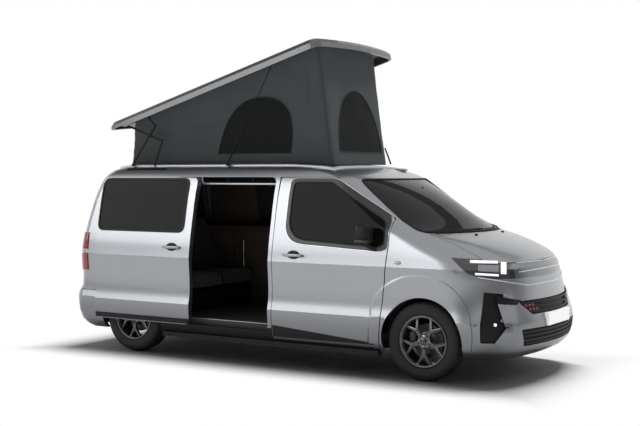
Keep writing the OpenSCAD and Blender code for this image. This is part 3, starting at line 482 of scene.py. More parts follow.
world = bpy.data.worlds.new("studioWorld")
scene.world = world
world.use_nodes = True
world.node_tree.nodes["Background"].inputs[0].default_value = (stageLook["room"],) * 3 + (1,)
for box in ("key", "top", "near", "cabin"):
    spot, size, glow, seenBy = stageLook[box]
    bpy.ops.object.light_add(type="AREA", location=spot)
    lamp = bpy.context.object
    lamp.data.shape = "RECTANGLE"
    lamp.data.size, lamp.data.size_y = size
    lamp.data.energy = glow * math.pi * size[0] * size[1]
    lamp.visible_diffuse = seenBy != "glossy"
    lamp.visible_glossy = seenBy != "diffuse"
    lamp.rotation_euler = (Vector((0, 0, 1)) - Vector(spot)).to_track_quat("-Z", "Y").to_euler()
print("stage ready")

# ---- tools for the new pieces


def finishPiece(obj, name, finish, body, angle=35):
    only(obj)
    obj.name = name
    bpy.ops.object.transform_apply(location=True, rotation=True, scale=True)
    bpy.ops.object.shade_smooth_by_angle(angle=math.radians(angle))
    obj.data.materials.clear()
    obj.data.materials.append(finish)
    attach(obj, body)
    return obj


def useModifier(obj, kind, **settings):
    only(obj)
    modifier = obj.modifiers.new(kind, kind)
    for key, value in settings.items():
        setattr(modifier, key, value)
    bpy.ops.object.modifier_apply(modifier=modifier.name)


def bothSides(obj):
    useModifier(obj, "MIRROR", use_axis=(False, True, False), use_mirror_merge=False)


def outward(obj):
    only(obj)
    bpy.ops.object.mode_set(mode="EDIT")
    bpy.ops.mesh.select_all(action="SELECT")
    bpy.ops.mesh.remove_doubles(threshold=0.00002)
    bpy.ops.mesh.normals_make_consistent(inside=False)
    bpy.ops.object.mode_set(mode="OBJECT")


def tube(points, radius, closed=False, rings=3):
    curve = bpy.data.curves.new("tube", "CURVE")
    curve.dimensions = "3D"
    curve.bevel_depth = radius
    curve.bevel_resolution = rings
    curve.use_fill_caps = True
    line = curve.splines.new("POLY")
    line.points.add(len(points) - 1)
    for spot, point in zip(line.points, points):
        spot.co = (*point, 1)
    line.use_cyclic_u = closed
    obj = bpy.data.objects.new("tube", curve)
    scene.collection.objects.link(obj)
    only(obj)
    bpy.ops.object.convert(target="MESH")
    outward(bpy.context.object)
    return bpy.context.object


def joined(parts):
    bpy.ops.object.select_all(action="DESELECT")
    for part in parts:
        part.select_set(True)
    bpy.context.view_layer.objects.active = parts[0]
    if len(parts) > 1:
        bpy.ops.object.join()
    return bpy.context.object


def softBlock(low, high, bevel=0.006, rings=2):
    # a block with rounded edges
    size = [b - a for a, b in zip(low, high)]
    bpy.ops.mesh.primitive_cube_add(size=1, location=[(a + b) / 2 for a, b in zip(low, high)])
    block = bpy.context.object
    block.scale = size
    bpy.ops.object.transform_apply(location=True, rotation=True, scale=True)
    bpy.ops.object.mode_set(mode="EDIT")
    bpy.ops.mesh.select_all(action="SELECT")
    bpy.ops.mesh.bevel(offset=min(bevel, min(size) * 0.45), segments=rings, affect="EDGES")
    bpy.ops.object.mode_set(mode="OBJECT")
    return block


cameraTurn = camera.rotation_euler.to_matrix()


def pixelRay(px, py):
    across = (px - view["centre"][0]) / view["focal"]
    up = (view["centre"][1] - py) / view["focal"]
    return Vector(view["place"]), (cameraTurn @ Vector((across, up, -1))).normalized()


def onSkin(start, way, proud=0.0, shift=Vector()):
    place, _, _, _ = skinTree.ray_cast(Vector(start) - shift, way)
    normal, _ = skinNormal(place)
    return place + normal * proud + shift


def atPixel(px, py, proud=0.0, shift=Vector()):
    start, way = pixelRay(px, py)
    return onSkin(start, way, proud, shift)


def atSide(x, z, proud=0.0, shift=Vector()):
    return onSkin(Vector((x, -3, z)), Vector((0, 1, 0)), proud, Vector((0, shift.y, 0)))


def atFront(y, z, proud=0.0):
    return onSkin((4, y, z), Vector((-1, 0, 0)), proud)


def atTail(y, z, proud=0.0):
    return onSkin((-4, y, z), Vector((1, 0, 0)), proud)


def atTop(x, y, proud=0.0):
    return onSkin((x, y, 4), Vector((0, 0, -1)), proud)


def patch(spot, steps, thick, shift=Vector()):
    # a sheet laid on the skin: spot(u, v, proud) places a point, then the wall gets its thickness
    bpy.ops.mesh.primitive_grid_add(x_subdivisions=steps[0], y_subdivisions=steps[1], size=2)
    sheet = bpy.context.object
    for vertex in sheet.data.vertices:
        vertex.co = spot((vertex.co.x + 1) / 2, (vertex.co.y + 1) / 2)
    sheet.data.update()
    middle = sheet.data.polygons[len(sheet.data.polygons) // 2]
    if middle.normal.dot(skinNormal(middle.center - shift)[0]) < 0:
        bpy.ops.object.mode_set(mode="EDIT")
        bpy.ops.mesh.select_all(action="SELECT")
        bpy.ops.mesh.flip_normals()
        bpy.ops.object.mode_set(mode="OBJECT")
    useModifier(sheet, "SOLIDIFY", thickness=thick, offset=1)
    return sheet


def quadSpot(corners, proud, shift=Vector()):
    # corners in photograph pixels, in order round the patch
    def spot(u, v):
        pixel = [corners[0][k] * (1 - u) * (1 - v) + corners[1][k] * u * (1 - v) + corners[2][k] * u * v
                 + corners[3][k] * (1 - u) * v for k in (0, 1)]
        return atPixel(*pixel, proud, shift)
    return spot


def smoothLoop(points, radius, steps=5):
    # a closed outline with its corners rounded
    out = []
    count = len(points)
    for i, p in enumerate(points):
        p, before, after = Vector(p), Vector(points[i - 1]), Vector(points[(i + 1) % count])
        reach = min(radius, (before - p).length * 0.45, (after - p).length * 0.45)
        a, b = p + (before - p).normalized() * reach, p + (after - p).normalized() * reach
        for k in range(steps + 1):
            t = k / steps
            out.append((a * (1 - t) + p * t) * (1 - t) + (p * (1 - t) + b * t) * t)
    return out


def dense(points, step, closed=True):
    out = []
    pairs = list(zip(points, points[1:] + points[:1])) if closed else list(zip(points, points[1:]))
    for a, b in pairs:
        a, b = Vector(a), Vector(b)
        count = max(1, int((b - a).length / step))
        out += [a + (b - a) * k / count for k in range(count)]
    if not closed:
        out.append(Vector(points[-1]))
    return out


# ---- windows: seals and frame lines
windowLook = {"seal": 0.008, "frame": 0.0045, "round": 0.05, "grow": 0.042}
doorWindow = [(0.205, 1.345), (0.232, 1.273), (0.290, 1.219), (0.375, 1.195), (1.140, 1.152), (1.208, 1.180),
              (1.208, 1.372), (0.622, 1.720), (0.205, 1.720)]
rearWindow = [(-2.075, 1.26), (-1.33, 1.26), (-1.33, 1.72), (-2.075, 1.72)]
leftWindow = [(-1.13, 1.25), (-0.11, 1.25), (-0.11, 1.72), (-1.13, 1.72)]
slideWindow = [(-1.204, 1.25), (-0.14, 1.25), (-0.14, 1.738), (-1.204, 1.738)]


def grown(outline, by):
    middle = sum((Vector(p) for p in outline), Vector((0, 0))) / len(outline)
    out = []
    for p in outline:
        p = Vector(p)
        away = p - middle
        out.append((p.x + math.copysign(by, away.x), p.y + math.copysign(by, away.y)))
    return out


def sideLoop(outline, radius, proud, shift=Vector(), corner=None):
    ring = dense(smoothLoop(outline, corner or windowLook["round"]), 0.05)
    return tube([atSide(p.x, p.y, proud, shift) + Vector((shift.x, 0, 0)) for p in ring], radius, True)


def mirrorOver(obj):
    # the same piece on the other side of the van
    only(obj)
    bpy.ops.object.duplicate()
    twin = bpy.context.object
    for vertex in twin.data.vertices:
        vertex.co.y = -vertex.co.y
    bpy.ops.object.mode_set(mode="EDIT")
    bpy.ops.mesh.select_all(action="SELECT")
    bpy.ops.mesh.flip_normals()
    bpy.ops.object.mode_set(mode="OBJECT")
    return twin


for side in ("right", "left"):
    body = side + "_front_door"
    seal = sideLoop(doorWindow, windowLook["seal"], 0.0)
    rim = sideLoop(grown(doorWindow, windowLook["grow"]), windowLook["frame"], 0.001)
    if side == "left":
        seal, rim = [(mirrorOver(p), bpy.data.objects.remove(p))[0] for p in (seal, rim)]
    finishPiece(seal, side + "_windowSeal", blackSatin, body)
    finishPiece(rim, side + "_windowFrame", brightLine, body)
finishPiece(sideLoop(rearWindow, 0.007, 0.0), "rearWindowSealRight", blackSatin, "shell")
for outline, name in ((rearWindow, "rearWindowSealLeft"), (leftWindow, "middleWindowSealLeft")):
    seal = sideLoop(outline, 0.007, 0.0)
    twin = mirrorOver(seal)
    bpy.data.objects.remove(seal)
    finishPiece(twin, name, blackSatin, "shell")
finishPiece(sideLoop(slideWindow, 0.006, 0.0, slideShift), "slideWindowSeal", blackSatin, "shell")
gateRing = dense(smoothLoop([(-0.64, 1.255), (0.64, 1.255), (0.58, 1.745), (-0.58, 1.745)], 0.06), 0.05)
finishPiece(tube([atTail(p.x, p.y) for p in gateRing], 0.008, True), "gateWindowSeal", blackSatin, "tailgate")
screenRing = dense(smoothLoop([(-0.772, 1.282), (0.772, 1.282), (0.668, 1.748), (-0.668, 1.748)], 0.06), 0.05)
finishPiece(tube([atFront(p.x, p.y) for p in screenRing], 0.010, True), "screenSeal", blackSatin, "shell")
print("window seals fitted")

# ---- door handles: a silver bar over a dark bowl
handleLook = {"bar": (0.105, 0.011, 0.015), "bowl": (0.068, 0.010, 0.042), "proud": 0.030}


def handle(x, z, shift=Vector()):
    spot = atSide(x, z, 0.0, shift) + Vector((shift.x, 0, 0))
    bpy.ops.mesh.primitive_uv_sphere_add(segments=32, ring_count=16, radius=1, location=spot)
    bowl = bpy.context.object
    bowl.scale = handleLook["bowl"]
    bpy.ops.object.transform_apply(location=True, rotation=True, scale=True)
    out = Vector((0, -handleLook["proud"], 0))
    long, deep, tall = handleLook["bar"]
    bar = softBlock(spot + out - Vector((long, deep, tall)), spot + out + Vector((long, deep, tall)), 0.010, 4)
    bpy.ops.object.mode_set(mode="EDIT")
    bpy.ops.mesh.select_all(action="SELECT")
    bpy.ops.mesh.subdivide(number_cuts=2)
    bpy.ops.object.mode_set(mode="OBJECT")
    for vertex in bar.data.vertices:
        along = (vertex.co.x - spot.x) / long
        vertex.co.y += 0.012 * along ** 4  # ends curve back to the panel
        vertex.co.z = spot.z + (vertex.co.z - spot.z) * (1 - 0.25 * along ** 2)
    feet = []
    for end in (-0.088, 0.088):
        foot = spot + Vector((end, 0, 0))
        feet.append(softBlock(foot + Vector((-0.012, out.y, -0.010)), foot + Vector((0.012, 0.006, 0.010)), 0.004))
    return bowl, joined([bar] + feet)


for side in ("right", "left"):
    bowl, bar = handle(0.277, 1.053)
    if side == "left":
        bowl, bar = [(mirrorOver(p), bpy.data.objects.remove(p))[0] for p in (bowl, bar)]
    finishPiece(bowl, side + "_handleBowl", blackSatin, side + "_front_door")
    finishPiece(bar, side + "_handleBar", paint, side + "_front_door")
bowl, bar = handle(-0.229, 1.084, slideShift)
finishPiece(bowl, "slideHandleBowl", blackSatin, "shell")
finishPiece(bar, "slideHandleBar", paint, "shell")

# ---- black trims along the doors' feet, side repeaters
footLook = {"thick": 0.006}


def sideWedge(xs, lows, highs, shift=Vector(), steps=(20, 3)):
    def spot(u, v):
        x = xs[0] + (xs[1] - xs[0]) * u
        low, high = lows[0] + (lows[1] - lows[0]) * u, highs[0] + (highs[1] - highs[0]) * u
        return atSide(x, low + (high - low) * v, 0.0005, shift) + Vector((shift.x, 0, 0))
    return patch(spot, steps, footLook["thick"], shift)


wedge = sideWedge((0.050, 1.120), (0.285, 0.290), (0.392, 0.300))
twin = mirrorOver(wedge)
finishPiece(wedge, "right_doorFoot", blackSatin, "right_front_door")
finishPiece(twin, "left_doorFoot", blackSatin, "left_front_door")
finishPiece(sideWedge((-1.215, -0.016), (0.345, 0.345), (0.392, 0.392), slideShift), "slideDoorFoot", blackSatin, "shell")
bpy.ops.mesh.primitive_uv_sphere_add(segments=24, ring_count=12, radius=1, location=atSide(1.359, 1.024))
repeater = bpy.context.object
repeater.scale = (0.034, 0.008, 0.017)
bpy.ops.object.transform_apply(location=True, rotation=True, scale=True)
bothSides(repeater)
finishPiece(repeater, "sideRepeaters", satinGrey, "shell")
print("side trims fitted")

# ---- face: lamp bars, bright lines, grille bars
lampBars = {"upper": ((470, 260.4), (497.5, 261.2), (497.5, 263.6), (470, 263.0)),
            "lower": ((475, 273.0), (498.5, 274.3), (498.5, 276.4), (475, 275.0)),
            "post": ((500.8, 262.2), (506, 262.8), (506, 274.2), (500.8, 274.0))}
bars = []
for corners in lampBars.values():
    bars.append(patch(quadSpot(corners, 0.001), (10, 3), 0.004))
bars = joined(bars)
bothSides(bars)
finishPiece(bars, "lampBars", lampWhite, "shell")
reflector = patch(quadSpot(((478, 265), (498.5, 265.6), (498.5, 272.4), (478, 271.2)), 0.001), (10, 4), 0.003)
bothSides(reflector)
finishPiece(reflector, "lampReflectors", satinGrey, "shell")

faceLines = (((515, 263), (530, 261.5), (544, 260)), ((518, 272), (531, 270), (543, 268)),
             ((478, 277.5), (496, 280.3), (513, 283), (528, 285), (543, 282.5)))
lines = []
for pixels in faceLines:
    route = [atPixel(p.x, p.y, 0.002) for p in dense([Vector(p) for p in pixels], 2.0, False)]
    route.append(atFront(0, route[-1].z, 0.002))
    lines.append(tube(route, 0.005))
lines = joined(lines)
bothSides(lines)
finishPiece(lines, "faceLines", brightLine, "shell")


def frontBars(levels, spans, deep, tall, name, finish):
    parts = []
    for z, half in zip(levels, spans):
        def spot(u, v):
            return atFront((2 * u - 1) * half, z + (v - 0.5) * tall, -0.009)
        parts.append(patch(spot, (40, 2), deep))
    finishPiece(joined(parts), name, finish, "shell")


frontBars((0.615, 0.652, 0.690), (0.455, 0.505, 0.555), 0.008, 0.014, "slotBars", blackSatin)
frontBars((0.348, 0.384, 0.420, 0.456), (0.570, 0.590, 0.605, 0.618), 0.008, 0.012, "lowBars", blackSatin)
chips = []
for z in (0.634, 0.671):
    for k in range(3):
        y = -0.545 + 0.05 * k + (0.690 - z) * 1.2
        chips.append(patch(lambda u, v: atFront(y + 0.034 * u, z - 0.009 + 0.018 * v, -0.002), (3, 2), 0.006))
chips = joined(chips)
bothSides(chips)
finishPiece(chips, "grilleChips", chipRed, "shell")
print("face fitted")

# ---- tyres: a spun profile with four grooves and cut shoulder blocks
tyreLook = {"steps": 80, "half": 0.1075, "radius": 0.3447, "bead": 0.2285, "groove": 0.006, "grooves": (-0.052, -0.018, 0.018, 0.052),
            "grooveHalf": 0.0045, "cut": 0.005}
tyreProfile = [(-0.086, 0.2285), (-0.094, 0.236), (-0.099, 0.243), (-0.1010, 0.247), (-0.1045, 0.262), (-0.1090, 0.288),
               (-0.1086, 0.294), (-0.1075, 0.298), (-0.1015, 0.316), (-0.096, 0.327), (-0.0855, 0.3365), (-0.072, 0.3415)]
wheelSpots = {"front_right": (1.5865, -0.805), "front_left": (1.5865, 0.805), "rear_right": (-1.6885, -0.805),
              "rear_left": (-1.6885, 0.805)}


def spunRing(profile, steps, centre):
    # profile: (across, radius) about the axle, spun about Y
    mesh = bpy.data.meshes.new("spun")
    mesh.from_pydata([(0, w, r) for w, r in profile], [(i, i + 1) for i in range(len(profile) - 1)], [])
    ring = bpy.data.objects.new("spun", mesh)
    scene.collection.objects.link(ring)
    only(ring)
    bpy.ops.object.mode_set(mode="EDIT")
    bpy.ops.mesh.select_all(action="SELECT")
    bpy.ops.mesh.spin(steps=steps, angle=2 * math.pi, center=(0, 0, 0), axis=(0, 1, 0))
    bpy.ops.mesh.select_all(action="SELECT")
    bpy.ops.mesh.remove_doubles(threshold=0.00005)
    bpy.ops.mesh.normals_make_consistent(inside=False)
    bpy.ops.object.mode_set(mode="OBJECT")
    ring.location = centre
    return ring


def treadProfile():
    crown = lambda w: tyreLook["radius"] - 0.0032 * (abs(w) / 0.072) ** 2.5
    line = list(tyreProfile)
    for middle in tyreLook["grooves"]:
        g, d = tyreLook["grooveHalf"], tyreLook["groove"]
        line += [(middle - g, crown(middle)), (middle - g * 0.7, crown(middle) - d), (middle + g * 0.7, crown(middle) - d),
                 (middle + g, crown(middle))]
    line += [(-w, r) for w, r in reversed(tyreProfile)]
    inside = [(0.080, 0.232), (0.0, 0.236), (-0.080, 0.232)]
    return line + inside + [line[0]]


def buildTyre(spot):
    tyre = spunRing(treadProfile(), tyreLook["steps"], (0, 0, 0))
    only(tyre)
    mesh = tyre.data
    bpy.ops.object.mode_set(mode="EDIT")
    bpy.ops.mesh.select_all(action="DESELECT")
    bpy.ops.object.mode_set(mode="OBJECT")
    step = 2 * math.pi / tyreLook["steps"]
    for face in mesh.polygons:
        middle = face.center
        turn = int(math.atan2(middle.z, middle.x) // step)
        radius = math.hypot(middle.x, middle.z)
        shoulder = 0.062 < abs(middle.y) < 0.092 and radius > 0.33
        rib = 0.026 < abs(middle.y) < 0.047 and radius > 0.342
        face.select = (shoulder and turn % 3 == 0) or (rib and turn % 4 == 1)
    bpy.ops.object.mode_set(mode="EDIT")
    bpy.ops.mesh.select_mode(type="FACE")
    bpy.ops.mesh.inset(thickness=0.003, use_individual=True)
    bpy.ops.mesh.extrude_faces_move(TRANSFORM_OT_shrink_fatten={"value": -tyreLook["cut"]})
    bpy.ops.mesh.select_all(action="SELECT")
    bpy.ops.object.mode_set(mode="OBJECT")
    tyre.location = (spot[0], spot[1], 0.345)
    return tyre


rubberMaterial, surface, place = newMaterial("tyreRubber")
fine = place.make("ShaderNodeTexNoise", None, {"Vector": place, "Scale": 420.0, "Detail": 2.0})
broad = place.make("ShaderNodeTexNoise", None, {"Vector": place, "Scale": 14.0, "Detail": 3.0})
setSockets(surface, colour=broad.mix((0.013, 0.013, 0.014, 1), (0.024, 0.024, 0.025, 1)), rough=broad * 0.15 + 0.68,
           normal=bumpFrom(fine, 0.4, 0.0006), specular=0.35)
for side, spot in wheelSpots.items():
    tyre = finishPiece(buildTyre(spot), "treadTyre_" + side, rubberMaterial, side + "_wheel", 28)
    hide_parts("tyre_" + side)
print("tyres built")

# ---- wheels: cap, bolts and a lip on each rim
rimLook = {"face": 0.084, "cap": 0.031, "bolt": 0.0095, "boltRing": 0.056}
for side, spot in wheelSpots.items():
    out = -1 if spot[1] < 0 else 1
    parts = []
    face = spot[1] + out * rimLook["face"]
    capLine = [(out * 0.008, 0.0), (out * 0.0078, 0.012), (out * 0.006, 0.024), (out * 0.003, 0.030), (0.0, 0.031), (-out * 0.004, 0.031)]
    parts.append(spunRing(capLine, 32, (spot[0], face, 0.345)))
    for k in range(5):
        a = 2 * math.pi * (k + 0.5) / 5
        where = (spot[0] + rimLook["boltRing"] * math.sin(a), face, 0.345 + rimLook["boltRing"] * math.cos(a))
        bpy.ops.object.select_all(action="DESELECT")
        bpy.ops.mesh.primitive_cylinder_add(vertices=6, radius=rimLook["bolt"], depth=0.014, location=where,
                                            rotation=(math.pi / 2, 0, 0))
        bolt = bpy.context.object
        bpy.ops.object.mode_set(mode="EDIT")
        bpy.ops.mesh.select_all(action="SELECT")
        bpy.ops.mesh.bevel(offset=0.0015, segments=2, affect="EDGES")
        bpy.ops.object.mode_set(mode="OBJECT")
        parts.append(bolt)
    hub = joined(parts)
    finishPiece(hub, "hubCap_" + side, glossBlack, side + "_wheel")
    lipLine = [(out * 0.0945, 0.2120), (out * 0.0965, 0.2150), (out * 0.0965, 0.2245), (out * 0.0945, 0.2275)]
    lip = spunRing(lipLine, 72, (spot[0], spot[1], 0.345))
    finishPiece(lip, "rimLip_" + side, castAlloy, side + "_wheel")
print("wheels dressed")

# ---- canvas: one sheet round the raised roof, with arched mesh windows
canvasLook = {"foot": 1.8885, "half": 0.549, "back": -2.028, "front": 0.462, "round": 0.07, "rows": 46, "step": 0.030,
              "fold": 0.006, "flat": (7.2, 1.16), "area": 5.65, "keep": 0.02}
canvasNode = nodes["canvas"].data
canvasTree = BVHTree.FromPolygons([v.co.copy() for v in canvasNode.vertices], [tuple(p.vertices) for p in canvasNode.polygons])


def canvasRing():
    half, back, front, r = canvasLook["half"], canvasLook["back"], canvasLook["front"], canvasLook["round"]
    corners = [(front, -half), (front, half), (back, half), (back, -half)]
    return dense(smoothLoop(corners, r, 6), canvasLook["step"])


def canvasPoint(p, t):
    # t runs from the foot to the lid; the ends lean in as the cloth rises
    lean = 0.155 * t if p.x > 0.2 else (-0.045 * t if p.x < -1.9 else 0.0)
    x = p.x - lean * 1.0
    top = canvasTop(x, p.y)
    return Vector((x, p.y, canvasLook["foot"] + (top - canvasLook["foot"]) * t))


lidPlane = {"at": (-2.0, 2.27), "slope": math.tan(math.radians(16.5))}


def canvasTop(x, y):
    return lidPlane["at"][1] + (x - lidPlane["at"][0]) * lidPlane["slope"]


highest = max(canvasNode.vertices, key=lambda v: v.co.z).co
lidPlane["at"] = (highest.x, highest.z - 0.002)
ring = canvasRing()
count, rows = len(ring), canvasLook["rows"]
lengths = [0.0]
for a, b in zip(ring, ring[1:]):
    lengths.append(lengths[-1] + (b - a).length)
clothPoints = []
for j in range(rows + 1):
    t = j / rows
    for i, p in enumerate(ring):
        point = canvasPoint(p, t)
        before, after = ring[i - 1], ring[(i + 1) % count]
        along = (after - before).normalized()
        out = Vector((along.y, -along.x, 0))
        s = lengths[i]
        bulge = 4 * t * (1 - t)
        fold = (0.55 * math.sin(9.1 * s + 3.0 * t) + 0.3 * math.sin(17.0 * s - 5.0 * t + 1.0) + 0.25 * math.sin(31.0 * t + 2.2 * s)
                + 0.35 * math.sin(13.0 * (s + 0.9 * t)))
        point -= out * canvasLook["fold"] * (1.2 - 0.9 * fold) * bulge
        clothPoints.append(point)
clothFaces = []
for j in range(rows):
    for i in range(count):
        a, b = j * count + i, j * count + (i + 1) % count
        clothFaces.append((a, b, b + count, a + count))
mesh = bpy.data.meshes.new("canvasSheet")
mesh.from_pydata(clothPoints, [], clothFaces)
canvas = bpy.data.objects.new("canvasSheet", mesh)
scene.collection.objects.link(canvas)
outward(canvas)
useModifier(canvas, "SOLIDIFY", thickness=0.002, offset=-1)

sideArch = {"x": -0.4385, "z": 1.995, "half": 0.436, "tall": 0.552, "skew": 0.18, "power": 2.4}
frontArch = {"y": 0.037, "z": 2.01, "half": 0.415, "tall": 0.605, "power": 2.0}
clothMaterial, surface, place = newMaterial("canvasCloth")
parts = place.make("ShaderNodeSeparateXYZ", None, {0: place})
px, py, pz = [Wire(clothMaterial.node_tree, parts.socket.node.outputs[k]) for k in range(3)]


def archMask(across, rise, half, tall, power):
    reach = (across / half).maths("ABSOLUTE").maths("POWER", power) + (rise / tall).maths("ABSOLUTE").maths("POWER", power)
    return (1.0 - reach).ramp(-0.015, 0.015) * (rise > 0.0)


sideRise = pz - sideArch["z"]
sideMask = archMask(px - sideArch["x"] - sideRise * sideArch["skew"], sideRise, sideArch["half"], sideArch["tall"], sideArch["power"])
sideMask = sideMask * (py.maths("ABSOLUTE") > 0.46)
frontRise = pz - frontArch["z"]
frontMask = archMask(py - frontArch["y"], frontRise, frontArch["half"], frontArch["tall"], frontArch["power"]) * (px > 0.20)
frontMask = frontMask * (0.45 - py.maths("ABSOLUTE") > 0.0)
net = sideMask.maths("MAXIMUM", frontMask)
weaveA = place.make("ShaderNodeTexWave", {"bands_direction": "Z"}, {"Vector": place, "Scale": 260.0, "Distortion": 0.6}, 1)
weaveB = place.make("ShaderNodeTexWave", {"bands_direction": "DIAGONAL"}, {"Vector": place, "Scale": 190.0, "Distortion": 0.6}, 1)
broad = place.make("ShaderNodeTexNoise", None, {"Vector": place, "Scale": 3.0, "Detail": 4.0})
cloth = broad.mix((0.080, 0.089, 0.094, 1), (0.108, 0.118, 0.124, 1))
mesh_ = weaveA.mix((0.008, 0.009, 0.0095, 1), (0.014, 0.015, 0.016, 1))
setSockets(surface, colour=net.mix(cloth, mesh_), rough=0.90 - net * 0.05, sheen=0.05, specular=0.12,
           normal=bumpFrom(weaveA * 0.5 + weaveB * 0.5 + broad * 3.0, 0.35, 0.0012))
finishPiece(canvas, "canvasSheet", clothMaterial, "shell", 60)
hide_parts("canvas")


def onCanvas(start, way, proud):
    local = BVHTree.FromObject(canvas, bpy.context.evaluated_depsgraph_get())
    place, normal, _, _ = local.ray_cast(Vector(start), Vector(way))
    return place + normal * proud


def archLine(form, steps=36):
    points = []
    for k in range(steps + 1):
        a = math.pi * k / steps
        c, s = math.cos(a), math.sin(a)
        across = form["half"] * math.copysign(abs(c) ** (2 / form["power"]), c)
        points.append((across, form["tall"] * abs(s) ** (2 / form["power"])))
    return points


bpy.context.view_layer.update()
canvasBvh = BVHTree.FromObject(canvas, bpy.context.evaluated_depsgraph_get())


def hemPoint(start, way, proud=0.002):
    place, normal, _, _ = canvasBvh.ray_cast(Vector(start), Vector(way))
    return place - Vector(way) * proud


hems = []
for out in (-1, 1):
    route = [hemPoint((sideArch["x"] + a + sideArch["skew"] * r, out * 2, sideArch["z"] + r), (0, -out, 0)) for a, r in archLine(sideArch)]
    hems.append(tube(dense(route, 0.05), 0.004, True, 2))
route = [hemPoint((2, frontArch["y"] + a, frontArch["z"] + r), (-1, 0, 0)) for a, r in archLine(frontArch)]
hems.append(tube(dense(route, 0.05), 0.004, True, 2))
for out in (-1, 1):  # seams at the front corners
    seam = []
    for k in range(40):
        t = 0.02 + 0.96 * k / 39
        p = canvasPoint(Vector((canvasLook["front"] - 0.02, out * (canvasLook["half"] - 0.02), 0)), t)
        seam.append(p + Vector((0.0, out * 0.001, 0)))
    hems.append(tube([hemPoint((p.x, out * 2, p.z), (0, -out, 0)) for p in seam if canvasBvh.ray_cast(Vector((p.x, out * 2, p.z)), Vector((0, -out, 0)))[0]], 0.003, False, 2))
hems = finishPiece(joined(hems), "canvasHems", speckled("hemCloth", (0.045, 0.050, 0.053), 0.8, grain=500, depth=0.0005), "shell")
strap = tube(dense([Vector((0.440, 0.520, 2.06)), Vector((0.472, 0.530, 1.975)), Vector((0.500, 0.535, 1.896))], 0.03, False), 0.008, False, 3)
strap = finishPiece(strap, "cornerStrap", barBlack, "shell")
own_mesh(strap)
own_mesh(hems)
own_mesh(canvas)
print("canvas hung")

# ---- door mirrors: a rounded case on a short arm, with its glass facing back
mirrorLook = {"low": (0.998, -1.097, 1.172), "high": (1.128, -0.946, 1.361), "power": 3.4}


def roundedForm(low, high, power, cuts=14):
    bpy.ops.object.select_all(action="DESELECT")
    bpy.ops.mesh.primitive_cube_add(size=2)
    form = bpy.context.object
    bpy.ops.object.mode_set(mode="EDIT")
    bpy.ops.mesh.select_all(action="SELECT")
    bpy.ops.mesh.subdivide(number_cuts=cuts)
    bpy.ops.object.mode_set(mode="OBJECT")
    for vertex in form.data.vertices:
        size = sum(abs(c) ** power for c in vertex.co) ** (1 / power)
        vertex.co = [(a + b) / 2 + c / size * (b - a) / 2 for a, b, c in zip(low, high, vertex.co)]
    return form


for side in ("right", "left"):
    body = side + "_front_door"
    case = roundedForm(mirrorLook["low"], mirrorLook["high"], mirrorLook["power"])
    for vertex in case.data.vertices:
        rise = (vertex.co.z - 1.172) / 0.189
        vertex.co.x += 0.018 * rise - 0.03 * (1 - rise) ** 2 * (vertex.co.y < -1.04)
        if vertex.co.x < 1.012 + 0.018 * rise:
            vertex.co.x = 1.012 + 0.018 * rise  # flat back for the glass
    arm = tube([(1.065, -1.000, 1.195), (1.085, -0.965, 1.160), (1.118, -0.930, 1.138), (1.140, -0.912, 1.130)], 0.020, False, 5)
    case = joined([case, arm])
    glass = softBlock((1.0085, -1.085, 1.195), (1.0125, -0.962, 1.338), 0.002, 1)
    for vertex in glass.data.vertices:
        vertex.co.x += 0.018 * (vertex.co.z - 1.172) / 0.189
    band = roundedForm((0.999, -1.099, 1.196), (1.130, -0.944, 1.226), 5.0, 10)
    if side == "left":
        case, glass, band = [(mirrorOver(p), bpy.data.objects.remove(p))[0] for p in (case, glass, band)]
    case = finishPiece(case, side + "_mirrorCase", blackSatin, body, 50)
    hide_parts(side + "_mirror")
    finishPiece(glass, side + "_mirrorGlass", discSteel, body)
    finishPiece(band, side + "_mirrorBand", bandDark, body, 50)
print("mirrors built")

# ---- seats: crowned pads with sewn channels, on plain frames
seatLook = {"floor": 0.385, "power": 6.0, "pull": 0.035, "cuts": 24, "seam": 0.0045, "seamWidth": 0.035}
seatCloth, surface, place = newMaterial("seatCloth")
weave = place.make("ShaderNodeTexWave", {"bands_direction": "Y"}, {"Vector": place, "Scale": 220.0, "Distortion": 1.5}, 1)
broad = place.make("ShaderNodeTexNoise", None, {"Vector": place, "Scale": 6.0, "Detail": 4.0})
setSockets(surface, colour=(broad * 0.6 + weave * 0.4).mix((0.016, 0.016, 0.017, 1), (0.040, 0.039, 0.038, 1)), rough=0.9,
           sheen=0.25, normal=bumpFrom(weave + broad, 0.4, 0.0008))


def buildPad(centre, size, pitch, crown, channels, bolster):
    bpy.ops.object.select_all(action="DESELECT")
    bpy.ops.mesh.primitive_cube_add(size=2)
    pad = bpy.context.object
    bpy.ops.object.mode_set(mode="EDIT")
    bpy.ops.mesh.select_all(action="SELECT")
    bpy.ops.mesh.subdivide(number_cuts=seatLook["cuts"])
    bpy.ops.object.mode_set(mode="OBJECT")
    turn = Matrix.Rotation(math.radians(pitch), 3, "Y")
    for vertex in pad.data.vertices:
        n = seatLook["power"]
        reach = sum(abs(c) ** n for c in vertex.co) ** (1 / n)
        u, w, t = [c / reach for c in vertex.co]
        along, across = u * (1 - seatLook["pull"] * (1 - w * w)), w * (1 - seatLook["pull"] * (1 - u * u))
        lift = t * size[2] / 2 * (1 - crown)
        if t > 0:
            lift += size[2] / 2 * crown * (1 - u * u) * (1 - 0.6 * w * w)
            lift += bolster * max(0.0, abs(w) - 0.62) / 0.38 * (1 - u ** 4)
            for line in channels:
                lift -= seatLook["seam"] * math.exp(-((u - line) / seatLook["seamWidth"]) ** 2)
            lift -= seatLook["seam"] * math.exp(-((abs(w) - 0.62) / seatLook["seamWidth"]) ** 2) * (1 if bolster else 0)
        vertex.co = Vector(centre) + turn @ Vector((along * size[0] / 2, across * size[1] / 2, lift))
    outward(pad)
    return pad


